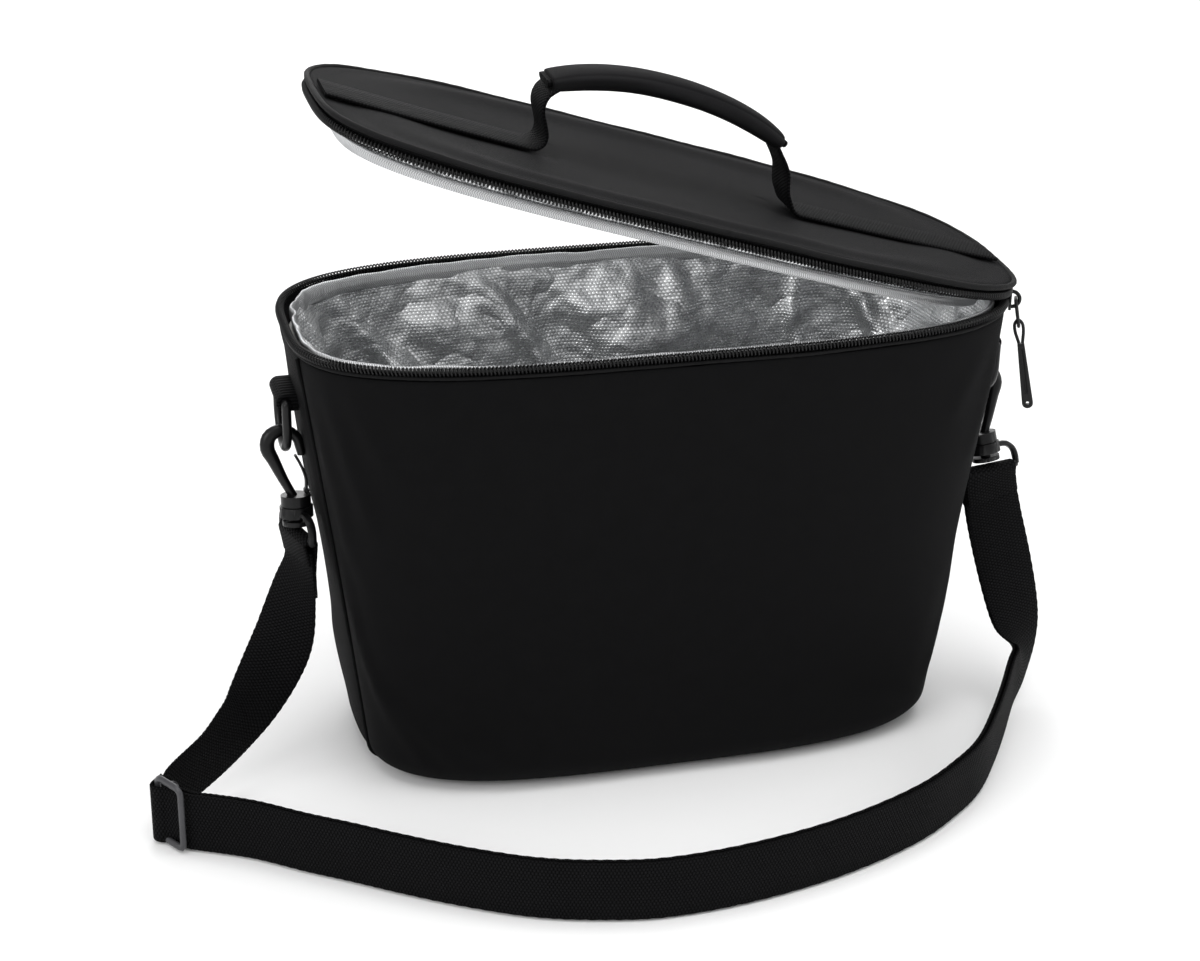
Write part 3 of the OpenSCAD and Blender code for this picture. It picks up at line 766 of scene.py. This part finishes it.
def panelAngles():
    # angles of the columns round the whole bag, closer together where the corners turn
    spans = {"back": (seamAngle, 180 - seamAngle), "left": (180 - seamAngle, 180 + seamAngle),
             "front": (180 + seamAngle, 360 - seamAngle), "right": (-seamAngle, seamAngle)}
    made = {}
    for panel, (first, last) in spans.items():
        angles = evenAngles(spread(first, last, 1500), body["columns"][panel], 0.1)
        angles[0], angles[-1] = first, last
        made[panel] = angles
    return made


def relaxCloth(piece, pinned, growth, pressure, frames, cap, stiffness=6):
    # a little too much fabric, held at its seams, buckles and swells; each point moves at most by cap
    start = [v.co.copy() for v in piece.data.vertices]
    group = piece.vertex_groups.new(name="pinned")
    for number, weight in pinned:
        group.add([number], weight, "REPLACE")
    cloth = addModifier(piece, "CLOTH")
    settings = cloth.settings
    settings.quality = 5
    settings.mass = 0.2
    settings.tension_stiffness = stiffness
    settings.compression_stiffness = stiffness
    settings.shear_stiffness = stiffness
    settings.bending_stiffness = 0.4
    settings.vertex_group_mass = "pinned"
    settings.pin_stiffness = 1.0
    settings.shrink_min = -growth
    settings.effector_weights.gravity = 0
    settings.use_pressure = True
    settings.uniform_pressure_force = pressure
    cloth.collision_settings.use_collision = False
    cloth.collision_settings.use_self_collision = False
    cloth.point_cache.frame_start, cloth.point_cache.frame_end = 1, frames
    for number in range(1, frames + 1):
        scene.frame_set(number)
    applyModifiers(piece)
    scene.frame_set(1)
    piece.vertex_groups.clear()
    for vertex, rest in zip(piece.data.vertices, start):
        move = vertex.co - rest
        if move.length > cap:
            vertex.co = rest + move * (cap / move.length)


def cutGrid(piece, wide, first, last, tall, name):
    # one panel out of a simulated grid, as a mesh of its own
    points = [v.co for v in piece.data.vertices]
    rows = [[points[i * wide + j % wide].copy() for j in range(first, last + 1)] for i in range(tall)]
    return clothGrid(name, rows)


def makeBodySkin():
    panels = panelAngles()
    order = ["back", "left", "front", "right"]
    angles, starts = [], {}
    for panel in order:
        starts[panel] = len(angles)
        angles += panels[panel][:-1]
    wide, tall = len(angles), body["rows"]
    reaches = [i / (tall - 1) for i in range(tall)]
    rows = [[skinPoint(angle, reach, seamDistance(angle)) for angle in angles] for reach in reaches]
    whole = clothGrid("bodySkin", rows, ring=True)
    pinned = []
    seams = set(starts.values())
    for i in range(tall):
        for j in range(wide):
            held = 1.0 if i in (0, tall - 1) or j in seams else 0.04
            pinned.append((i * wide + j, held))
    relaxCloth(whole, pinned, body["growth"], 0.4, body["frames"], body["cap"])
    names = {"back": ("backPanel", "back_panel"), "left": ("leftEndPanel", "left_end_panel"),
             "front": ("frontPanel", "front_panel"), "right": ("rightEndPanel", "right_end_panel")}
    for panel in order:
        first = starts[panel]
        last = first + len(panels[panel]) - 1
        name, node = names[panel]
        piece = cutGrid(whole, wide, first, last, tall, name)
        addModifier(piece, "SOLIDIFY", thickness=body["thickness"], offset=-1)
        addModifier(piece, "SUBSURF", levels=1, render_levels=1)
        applyModifiers(piece)
        smooth(piece)
        finishPiece(piece, "root", "bodyCloth", [node])
    bpy.data.objects.remove(whole)


def makeBase():
    # flat underside with the turned edge's lower rim sewn to it
    rings = []
    for share in (0.02, 0.2, 0.4, 0.6, 0.78, 0.9, 0.97, 1.0):
        ring = []
        for degrees in spread(0, 357, 120):
            p = wallPoint(degrees, 0, 0, bag["panelTop"])
            z = wobble(Vector((p.x * share, p.y * share, 0)), 30, 0.3 * mm) * (1 - share)
            ring.append(Vector((p.x * share, p.y * share, 0.35 * mm + z)))
        rings.append(ring)
    base = clothGrid("basePanel", rings[::-1], ring=True, fan=True)
    addModifier(base, "SOLIDIFY", thickness=1.1 * mm, offset=-1)
    applyModifiers(base)
    mapFlat(base)
    smooth(base, 40)
    finishPiece(base, "root", "bodyCloth", ["base_panel"])


def makeSeamWelts():
    welts = []
    radius = body["seamWeltRadius"]
    for number, degrees in enumerate((seamAngle, 180 - seamAngle, 180 + seamAngle, 360 - seamAngle)):
        out = outward(degrees)
        path = []
        for reach in spread(0.03, 0.995, 90):
            p = wallPoint(degrees, reach, 0.0, bag["panelTop"])
            path.append(p + out * (0.5 * mm + wobble(p + Vector((number, 0, 0)), 60, 0.35 * mm)))
        welts.append(tube("welt", path, lambda i: radius * (1 + 0.12 * math.sin(i * 0.9)), 8,
                          up=Vector((0, 1, 0))))
    welt = joinPieces("seamWelts", welts)
    finishPiece(welt, "root", "bodyCloth", ["seam_welts"])


makeBodySkin()
makeBase()
makeSeamWelts()
print("body made")


# ---------- welts and zip -----------------

rim = {
    "weltRadius": 0.95 * mm,
    "weltHeight": middle("body_piping").z + 4 * mm,
    "weltInset": 0.3 * mm,
    "lidWeltRadius": 1.45 * mm,
    "lidWeltHeight": 231.3 * mm,
    "lidWeltInset": -0.3 * mm,
    "coilInset": 0.5 * mm,
    "coilRadius": 1.85 * mm,
    "coilPitch": 1.75 * mm,
    "lidCoilHeight": 226.65 * mm,
    "zipEnd": 19,
}


def moveMesh(piece, matrix):
    piece.data.transform(matrix)
    piece.data.update()


def makeWelt(name, z, inset, radius, body, node, open=False):
    def uneven(i):
        return radius * (1 + 0.05 * math.sin(i * 1.7) * math.sin(i * 0.31))

    path = []
    for degrees in roundAngles(0, 360, 361)[:-1]:
        p = rimPoint(degrees, z, inset)
        p.z += wobble(p, 26, 0.5 * mm)
        p += outward(degrees) * wobble(p + Vector((1, 0, 0)), 40, 0.35 * mm)
        path.append(p)
    piece = tube(name, path, uneven, 10, closed=True)
    if open:
        moveMesh(piece, openLid)
    return finishPiece(piece, body, "weltCloth", [node])


def makeTape(name, rows, body, node, open=False):
    # rows are (height, inset) from the bottom of the band to its top
    angles = roundAngles(rim["zipEnd"], 360 - rim["zipEnd"], 300)
    grid = [[rimPoint(degrees, z * mm, inset * mm) for degrees in angles] for z, inset in rows]
    piece = clothGrid(name, grid)
    addModifier(piece, "SOLIDIFY", thickness=0.6 * mm, offset=-1)
    applyModifiers(piece)
    if open:
        moveMesh(piece, openLid)
    smooth(piece, 40)
    return finishPiece(piece, body, "tape", [node])


def makeCoil(name, z, body, node, open=False):
    # a nylon coil round a cord, one turn for every pair of teeth
    angles = roundAngles(rim["zipEnd"] - 1, 361 - rim["zipEnd"], 1400)
    line = [rimPoint(degrees, z, rim["coilInset"]) for degrees in angles]
    total = stretchLengths(line, False)
    turns = int(total[-1] / rim["coilPitch"])
    perTurn = 8
    path, at = [], 0
    count = turns * perTurn
    for k in range(count + 1):
        want = total[-1] * k / count
        while at < len(total) - 2 and total[at + 1] < want:
            at += 1
        share = (want - total[at]) / (total[at + 1] - total[at])
        p = line[at].lerp(line[at + 1], min(1.0, share))
        ahead = (line[at + 1] - line[at]).normalized()
        side = Vector((0, 0, 1)).cross(ahead)
        turn = 2 * math.pi * k / perTurn
        path.append(p + side * rim["coilRadius"] * math.cos(turn) * 0.92
                    + Vector((0, 0, 1)) * rim["coilRadius"] * math.sin(turn))
    coil = tube(name, path, 0.5 * mm, 4)
    core = tube(name + "Core", line[::3], 0.8 * mm, 6)
    coil = joinPieces(name, [coil, core])
    if open:
        moveMesh(coil, openLid)
    return finishPiece(coil, body, "coil", [node])


makeWelt("bodyWelt", rim["weltHeight"], rim["weltInset"], rim["weltRadius"], "root", "body_piping")
makeWelt("lidWelt", rim["lidWeltHeight"], rim["lidWeltInset"], rim["lidWeltRadius"], "lid", "lid_piping",
         open=True)
makeTape("bodyTape", [(214, 2.0), (219, 1.9), (220.8, 1.2), (223.4, 1.3)], "root", "body_zip_tape")
makeTape("lidTape", [(227.2, 1.3), (229, 0.9), (231.2, 0.9)], "lid", "lid_zip_tape", open=True)
makeCoil("bodyCoil", bag["rimHeight"] - 0.1 * mm, "root", "body_zip_coil")
makeCoil("lidCoil", rim["lidCoilHeight"], "lid", "lid_zip_coil", open=True)
print("zip made")


# ---------- lining ----------

lining = {
    "depth": 7.3 * mm,
    "top": 220 * mm,
    "columns": 160,
    "rows": 38,
    "growth": 0.06,
    "frames": 18,
    "cap": 8 * mm,
    "ridge": 8 * mm,
}


def makeLining():
    angles = roundAngles(0, 360, lining["columns"] + 1)[:-1]
    rows = []
    for reach in spread(0.0, 1.0, lining["rows"]):
        row = []
        for degrees in angles:
            p = wallPoint(degrees, reach, lining["depth"], lining["top"])
            held = min(1.0, (1 - reach) * 9, reach * 9)
            soft = noise.noise(p * 19 + Vector((3, 1, 0))) + 0.5 * noise.noise(p * 47)
            slant = Vector((p.x + 0.35 * p.z, p.y, 0.55 * p.z))
            fold = max(0.0, 1 - abs(noise.noise(slant * 20 + Vector((7, 2, 5)))) * 3.4)
            gathered = math.exp(-((degrees - 172) / 20) ** 2)
            pleat = max(0.0, noise.noise(Vector((degrees * 0.11, p.z * 4, 2)))) * 7 * mm * gathered
            inward = 0.6 * mm + 1.6 * mm * max(-0.3, soft) + lining["ridge"] * fold ** 1.5 + pleat
            row.append(p - outward(degrees) * inward * held)
        rows.append(row)
    wall = clothGrid("wallLining", rows, ring=True, flip=True)
    wide, tall = len(angles), len(rows)
    pinned = []
    for i in range(tall):
        for j in range(wide):
            held = 1.0 if i in (0, tall - 1) else 0.012
            pinned.append((i * wide + j, held))
    relaxCloth(wall, pinned, lining["growth"], 0.6, lining["frames"], lining["cap"], 10)
    # the foam behind stops the foil
    for number, vertex in enumerate(wall.data.vertices):
        i, j = divmod(number, wide)
        away = outward(angles[j])
        behind = wallPoint(angles[j], i / (tall - 1), lining["depth"], lining["top"])
        vertex.co -= away * max(0.0, (vertex.co - behind).dot(away))
    addModifier(wall, "SUBSURF", levels=2, render_levels=2)
    applyModifiers(wall)
    smooth(wall)
    finishPiece(wall, "root", "foil", ["wall_lining"])
    perimeter = stretchLengths(rows[-1], True)[-1]
    print("lining cut", round(perimeter, 3))


def makeLiningBase():
    rings = []
    for share in spread(0.02, 1.0, 26):
        ring = []
        for degrees in spread(0, 357, 120):
            p = wallPoint(degrees, 0, lining["depth"], lining["top"])
            x, y = p.x * share * 1.01, p.y * share * 1.01
            high = max(-0.2, noise.noise(Vector((x, y, 0)) * 22)) * 2.2 * mm * (1 - share ** 6)
            ring.append(Vector((x, y, p.z + 0.4 * mm + high)))
        rings.append(ring)
    piece = clothGrid("baseLining", rings[::-1], ring=True, flip=True, fan=True)
    addModifier(piece, "SUBSURF", levels=1, render_levels=1)
    applyModifiers(piece)
    mapFlat(piece)
    finishPiece(piece, "root", "foil", ["base_lining"])


def makeHem():
    # folded binding over the lining's top edge
    angles = roundAngles(0, 360, 361)[:-1]
    # height and inset, up the inside and down behind
    section = [(216, 6.4), (216.6, 7.6), (219.6, 8.0), (223, 7.4), (224.4, 6.4), (224.3, 5.4), (222, 4.9),
               (217, 4.9)]
    rows = []
    for z, inset in section:
        row = []
        for degrees in angles:
            p = rimPoint(degrees, z * mm, inset * mm)
            gathered = math.exp(-((degrees - 168) / 22) ** 2)
            ripple = wobble(p, 34, 1.2 * mm) + wobble(p, 150, 3.2 * mm) * gathered
            lift = wobble(p, 60, 0.9 * mm) + wobble(p + Vector((2, 0, 0)), 130, 2 * mm) * gathered
            p.z += lift * (z - 212) / 12
            row.append(p - outward(degrees) * max(-0.6 * mm, ripple))
        rows.append(row)
    piece = clothGrid("liningHem", rows, ring=True, loop=True)
    addModifier(piece, "SUBSURF", levels=1, render_levels=1)
    applyModifiers(piece)
    return finishPiece(piece, "root", "hem", ["lining_hem"])


makeHem()
makeLining()
makeLiningBase()
print("lining made")


# ---------- lid ----------

lid = {
    "edgeHeight": 231.5 * mm,
    "edgeInset": 1.0 * mm,
    "crown": -2.6 * mm,
    "ridge": 1.6 * mm,
    "rings": 44,
    "columns": 240,
    "growth": 0.008,
    "frames": 16,
    "cap": 3.5 * mm,
    "webWidth": 25 * mm,
    "ridgeInset": 13 * mm,
    "feet": {-1: 67 * mm, 1: 58 * mm},
}


def lidTopHeight(x, y):
    a, b = bag["rimHalfLength"], bag["rimHalfDepth"]
    power = bag["squareness"]
    share = ((abs(x) / a) ** power + (abs(y) / b) ** power) ** (1 / power)
    share = min(1.0, share)
    gap = (1 - share) * b
    ends = 1 - 0.8 * min(1.0, max(0.0, (abs(x) - 0.11) / 0.05))
    ridge = math.exp(-((gap - lid["ridgeInset"]) / (7 * mm)) ** 2) * lid["ridge"] * ends
    dip = math.exp(-((gap - 5.5 * mm) / (3.5 * mm)) ** 2) * -0.5 * mm
    sewn = 0.0
    if abs(x) > lid["feet"][-1 if x < 0 else 1] - 6 * mm:
        sewn = -0.8 * mm * math.exp(-max(0.0, abs(y) - lid["webWidth"] / 2) / (5 * mm))
    return lid["edgeHeight"] + lid["crown"] * (1 - share ** 2.5) + 1.2 * mm + ridge + dip + sewn


def makeLidTop():
    angles = roundAngles(0, 360, lid["columns"] + 1)[:-1]
    rows = []
    for share in spread(1.0, 0.012, lid["rings"]):
        row = []
        for degrees in angles:
            p = rimPoint(degrees, 0.3, lid["edgeInset"]) * share
            z = lidTopHeight(p.x, p.y) if share < 1 else lid["edgeHeight"] + 0.3 * mm
            z += wobble(Vector((p.x, p.y, 0)), 24, 0.7 * mm) * (1 - share ** 8)
            row.append(Vector((p.x, p.y, z)))
        rows.append(row)
    piece = clothGrid("lidTop", rows, ring=True, fan=True)
    wide, tall = len(angles), len(rows)
    pinned = []
    for i, row in enumerate(rows):
        for j, p in enumerate(row):
            foot = lid["feet"][-1 if p.x < 0 else 1]
            sewn = foot - 4 * mm < abs(p.x) < 0.168 and abs(abs(p.y) - 10.5 * mm) < 2.2 * mm
            pinned.append((i * wide + j, 1.0 if i == 0 or sewn else 0.03))
    relaxCloth(piece, pinned, lid["growth"], 0.5, lid["frames"], lid["cap"], 8)
    addModifier(piece, "SUBSURF", levels=1, render_levels=1)
    addModifier(piece, "SOLIDIFY", thickness=1.2 * mm, offset=-1)
    applyModifiers(piece)
    mapFlat(piece)
    moveMesh(piece, openLid)
    smooth(piece)
    finishPiece(piece, "lid", "lidCloth", ["lid_top_panel"])


def makeLidFoil():
    # padded foil underside, bulging below the zip
    angles = roundAngles(0, 360, 220)[:-1]
    steps = [(3.0, 228.3), (3.4, 227.2), (6.4, 226.0), (9.4, 223.2), (10.6, 219.6), (12, 217.2), (15, 216.2),
             (22, 216.4), (34, 217.2), (48, 218), (62, 218.4), (72, 218.6), (76, 218.6)]
    rows = []
    for number, (inset, z) in enumerate(steps):
        row = []
        share = 1 - inset * mm / bag["rimHalfDepth"]
        for degrees in angles:
            edge = rimPoint(degrees, 0.3, min(inset, 15) * mm)
            p = edge if inset <= 15 else edge * (share / (1 - 15 * mm / bag["rimHalfDepth"]))
            soft = noise.noise(Vector((p.x, p.y, 0.7)) * 26) + 0.5 * noise.noise(Vector((p.x, p.y, 0.2)) * 60)
            held = max(0.0, min(1.0, (number - 1) / 4))
            row.append(Vector((p.x, p.y, z * mm + soft * 1.5 * mm * held)))
        rows.append(row)
    piece = clothGrid("lidLining", rows, ring=True, flip=True, fan=True)
    addModifier(piece, "SUBSURF", levels=2, render_levels=2)
    applyModifiers(piece)
    mapFlat(piece)
    moveMesh(piece, openLid)
    smooth(piece)
    finishPiece(piece, "lid", "foil", ["lid_lining", "lid_foam"])
    rows = []
    for inset, z in ((9.4, 222.0), (10.1, 221.4), (10.7, 220.6), (11.1, 219.4), (11.4, 218.2), (11.5, 217.0)):
        rows.append([rimPoint(degrees, z * mm - 1.2 * mm, (inset - 0.6) * mm) for degrees in angles])
    binding = clothGrid("lidBinding", rows, ring=True, flip=True)
    addModifier(binding, "SOLIDIFY", thickness=0.5 * mm, offset=-1)
    applyModifiers(binding)
    moveMesh(binding, openLid)
    smooth(binding, 40)
    finishPiece(binding, "lid", "hem", ["lid_binding"])


def makeHingeGusset():
    # fabric that joins the lid to the body behind the end of the zip
    rows = []
    for share in spread(0.0, 1.0, 13):
        row = []
        for degrees in spread(-rim["zipEnd"] - 1, rim["zipEnd"] + 1, 50):
            low = rimPoint(degrees, 217 * mm, 1.5 * mm)
            high = openLid @ rimPoint(degrees, 230.5 * mm, 1.2 * mm)
            p = low.lerp(high, share)
            bow = math.sin(math.pi * share)
            p += outward(degrees) * (bow * 1.2 * mm + wobble(p, 70, 0.5 * mm) * bow)
            row.append(p)
        rows.append(row)
    piece = clothGrid("hingeGusset", rows)
    addModifier(piece, "SOLIDIFY", thickness=1.0 * mm, offset=-1)
    addModifier(piece, "SUBSURF", levels=1, render_levels=1)
    applyModifiers(piece)
    smooth(piece, 50)
    finishPiece(piece, None, "weltCloth", ["hinge_strip"])
    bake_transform(piece)


makeLidTop()
makeLidFoil()
makeHingeGusset()
print("lid made")


# ---------- grab handle ----------

handle = {
    "webThickness": 1.6 * mm,
    "gripHalfLength": 58.5 * mm,
    "gripMiddle": -13.5 * mm,
    "gripRise": 11 * mm,
    "gripHeight": 28 * mm,
    "gripHalfWidth": 12 * mm,
    "gripHalfThickness": 5.2 * mm,
}
lidMiddle = lid["edgeHeight"] + 2.1 * mm


def makeHandleWebbing(side):
    lift = handle["webThickness"] / 2 + 0.3 * mm
    foot = lid["feet"][side]
    lean = handle["gripMiddle"] + side * (handle["gripHalfLength"] + 1.5 * mm - foot)
    points, faces = [], []
    for x in spread(bag["rimHalfLength"] - 3 * mm, foot + 9 * mm, 14):
        level = lid["edgeHeight"] + 1.2 * mm + lid["crown"] * (1 - (x / bag["rimHalfLength"]) ** 2.5)
        points.append(Vector((side * x, 0, level + lift - 0.3 * mm)))
        faces.append(Vector((0, 0, 1)))
    base = points[-1].z
    # the leg's turn up from the lid and in at its top: out from the foot, up and tip of the face
    corner = [(6.0, 0.1, 70), (3.4, 1.0, 50), (1.4, 2.8, 30), (0.2, 5.5, 12), (-0.2, 9, 3), (0.8, 14, -2),
              (1.6, 18, -4), (0.9, 22, 4), (-1.2, 26, 14), (-4.5, 29.5, 30)]
    for x, z, tip in corner:
        share = min(1.0, max(0.0, (z - 4) / 21))
        points.append(Vector((side * (foot + x * mm) + lean * share, 0, base + z * mm)))
        faces.append(Vector((side * math.cos(math.radians(tip)), 0, math.sin(math.radians(tip)))))
    path = splinePoints(points, 3)
    faces = splinePoints(faces, 3)
    name = "handleWebbingLeft" if side < 0 else "handleWebbingRight"
    piece = makeRibbon(name, path, faces, lid["webWidth"], handle["webThickness"], 0.08 * mm)
    moveMesh(piece, openLid)
    end = "left" if side < 0 else "right"
    finishPiece(piece, None, "webbing", ["handle_anchor_" + end, "handle_leg_" + end])
    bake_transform(piece)


def gripPath(reach, count):
    made = []
    for k in spread(-1, 1, count):
        rise = handle["gripRise"] * (1 - abs(k) ** 2.2)
        made.append(Vector((handle["gripMiddle"] + k * reach, 0, lidMiddle + handle["gripHeight"] + rise)))
    return made


def makeGrip():
    # padded sleeve of cloth round the webbing, creased lengthwise
    path = gripPath(handle["gripHalfLength"], 70)
    rows = []
    for i, point in enumerate(path):
        ahead = tangentAt(path, i)
        up = Vector((0, 1, 0)).cross(ahead) * -1
        if up.z < 0:
            up = -up
        row = []
        endGap = min(i, len(path) - 1 - i) / (len(path) - 1) * 2 * handle["gripHalfLength"]
        fill = 0.72 + 0.28 * (1 - math.exp(-endGap / (9 * mm)))
        for k in range(48):
            turn = 2 * math.pi * k / 48
            a = signedPower(math.cos(turn), 0.75) * handle["gripHalfWidth"]
            b = signedPower(math.sin(turn), 0.8) * handle["gripHalfThickness"] * fill
            crease = (0.35 * mm * math.exp(-((turn - 2.5) / 0.12) ** 2)
                      + 0.3 * mm * math.exp(-((turn - 4.1) / 0.1) ** 2))
            soft = noise.noise(Vector((point.x * 22, math.cos(turn) * 1.4, math.sin(turn) * 1.4))) * 0.55 * mm
            grow = 1 + (soft - crease) / handle["gripHalfThickness"]
            row.append(point + Vector((0, 1, 0)) * a * grow + up * b * grow)
        rows.append(row)
    grip = clothGrid("handleGrip", rows, ring=True, caps=True)
    core = makeRibbon("gripCore", gripPath(handle["gripHalfLength"] + 2 * mm, 40),
                      [Vector((0, 0, 1))] * 40, lid["webWidth"] * 0.72, 3.4 * mm)
    addModifier(grip, "SUBSURF", levels=1, render_levels=1)
    applyModifiers(grip)
    for piece in (grip, core):
        moveMesh(piece, openLid)
    smooth(grip, 45)
    finishPiece(grip, "handle", "lidCloth", ["handle_grip"])
    finishPiece(core, "handle", "webbing", ["handle_core"])


makeHandleWebbing(-1)
makeHandleWebbing(1)
makeGrip()
print("handle made")


# ---------- moulded parts from the frame ----------

hardware = {
    "edgeRound": 0.35 * mm,
    "smoothAngle": 38,
}


def finishedCopy(node, name, material, rounding):
    # the designed shape with its edges eased and its round faces smooth
    deselect()
    piece = frame["nodes"][node].copy()
    piece.data = frame["nodes"][node].data.copy()
    piece.parent = None
    for key in list(piece.keys()):
        del piece[key]
    piece.name = name
    scene.collection.objects.link(piece)
    piece.select_set(True)
    bpy.context.view_layer.objects.active = piece
    bpy.ops.object.mode_set(mode="EDIT")
    bpy.ops.mesh.select_all(action="SELECT")
    bpy.ops.mesh.remove_doubles(threshold=0.005 * mm)
    bpy.ops.mesh.dissolve_limited(angle_limit=math.radians(1.5))
    bpy.ops.object.mode_set(mode="OBJECT")
    if rounding:
        addModifier(piece, "BEVEL", width=rounding, segments=2, limit_method="ANGLE",
                    angle_limit=math.radians(40), use_clamp_overlap=True)
    applyModifiers(piece)
    smooth(piece, hardware["smoothAngle"])
    return finishPiece(piece, bodyOf[node], material, [node])


# the adjuster's frame: half its length and height between the rods' middles, its corners and rods
glide = {
    "halfLength": 8.5 * mm,
    "halfHeight": 16 * mm,
    "corner": 3.6 * mm,
    "rod": 1.9 * mm,
    "flat": 0.7,
    "out": 2.2 * mm,
    # half of the middle bar, up from its middle and out from the webbing's line
    "bar": [(0, -2.1), (11, -2.1), (14, -1.6), (15.4, 0.2), (15.8, 2.2)],
}


def makeGlide():
    row = strapRoute[strap["glideRow"]]
    out = facingOf(row)
    along = Vector((-out.y, out.x, 0))
    up = Vector((0, 0, 1))
    centre = Vector((row[0], row[1], 17.9)) * mm
    path = []
    for k, (a, b) in enumerate([(1, 1), (-1, 1), (-1, -1), (1, -1)]):
        for degrees in range(0, 91, 15):
            turn = math.radians(90 * k + degrees)
            across = a * (glide["halfLength"] - glide["corner"]) + glide["corner"] * math.cos(turn)
            high = b * (glide["halfHeight"] - glide["corner"]) + glide["corner"] * math.sin(turn)
            path.append(centre + along * across + up * high + out * glide["out"])
    frameRod = tube("triGlide", path, glide["rod"], 12, closed=True, up=out, flat=glide["flat"])
    half = [(up * high + out * step) * mm for high, step in glide["bar"]]
    line = [centre + p - 2 * up * p.z for p in reversed(half[1:])] + [centre + p for p in half]
    bar = tube("triGlideBar", splinePoints(line, 3), 1.15 * mm, 10, up=along)
    piece = joinPieces("triGlide", [frameRod, bar])
    smooth(piece, 50)
    finishPiece(piece, "root", "greySatin", ["tri_glide"])


def makeHardware():
    moulded = [("_ring", "Ring", 0), ("_hook", "Hook", 0), ("_gate", "Gate", 0.2 * mm),
               ("_swivel_base", "SwivelBase", hardware["edgeRound"])]
    for side in ("left", "right"):
        for node, name, rounding in moulded:
            finishedCopy(side + node, side + name, "blackMoulding", rounding)
        finishedCopy(side + "_tab", side + "Tab", "rolledWebbing", hardware["edgeRound"])
    makeGlide()
    finishedCopy("zip_slider", "zipSlider", "blackEnamel", 0.25 * mm)
    finishedCopy("pull_ring", "pullRing", "blackEnamel", 0)
    finishedCopy("pull_grip", "pullGrip", "blackMoulding", 0.45 * mm)
    finishedCopy("pull_cord", "pullCord", "thread", 0)
    finishedCopy("zip_end_tab", "zipEndTab", "tape", 0.3 * mm)


def paintHidden():
    for node, material in (("wall_foam", "foam"), ("base_board", "board"), ("base_foam", "foam")):
        piece = frame["nodes"][node]
        piece.data.materials.clear()
        piece.data.materials.append(materials[material])


makeHardware()
paintHidden()
makeStrap()
print("hardware and strap made")


# ---------- floor and light ----------

studio = {
    "floor": (0.86, 0.86, 0.86),
    "world": 0.75,
    "lamps": [
        # name, place, size, power
        ("overhead", (0.1, -0.1, 1.7), 1.6, 17),
        ("leftWindow", (-1.6, -0.9, 1.1), 1.2, 13),
        ("rightFill", (1.7, -0.6, 0.9), 1.2, 8),
        ("behind", (0.2, 1.7, 0.9), 1.3, 11),
    ],
}


def makeStudio():
    deselect()
    bpy.ops.mesh.primitive_grid_add(x_subdivisions=2, y_subdivisions=2, size=12, location=(0, 0, -0.0006))
    floor = bpy.context.object
    floor.name = "floor"
    paint = Paint("floorPaint")
    paint.set(Base_Color=(*studio["floor"], 1), Roughness=0.9, Specular_IOR_Level=0.1)
    floor.data.materials.append(paint.material)
    world = bpy.data.worlds.new("studio")
    world.use_nodes = True
    world.node_tree.nodes["Background"].inputs[0].default_value = (1, 1, 1, 1)
    world.node_tree.nodes["Background"].inputs[1].default_value = studio["world"]
    scene.world = world
    aim = Vector((0, 0, 0.12))
    for name, place, size, power in studio["lamps"]:
        data = bpy.data.lights.new(name, "AREA")
        data.shape = "DISK"
        data.size = size
        data.energy = power
        lamp = bpy.data.objects.new(name, data)
        scene.collection.objects.link(lamp)
        lamp.location = place
        lamp.rotation_euler = (aim - Vector(place)).to_track_quat("-Z", "Y").to_euler()


makeStudio()
print("studio made")
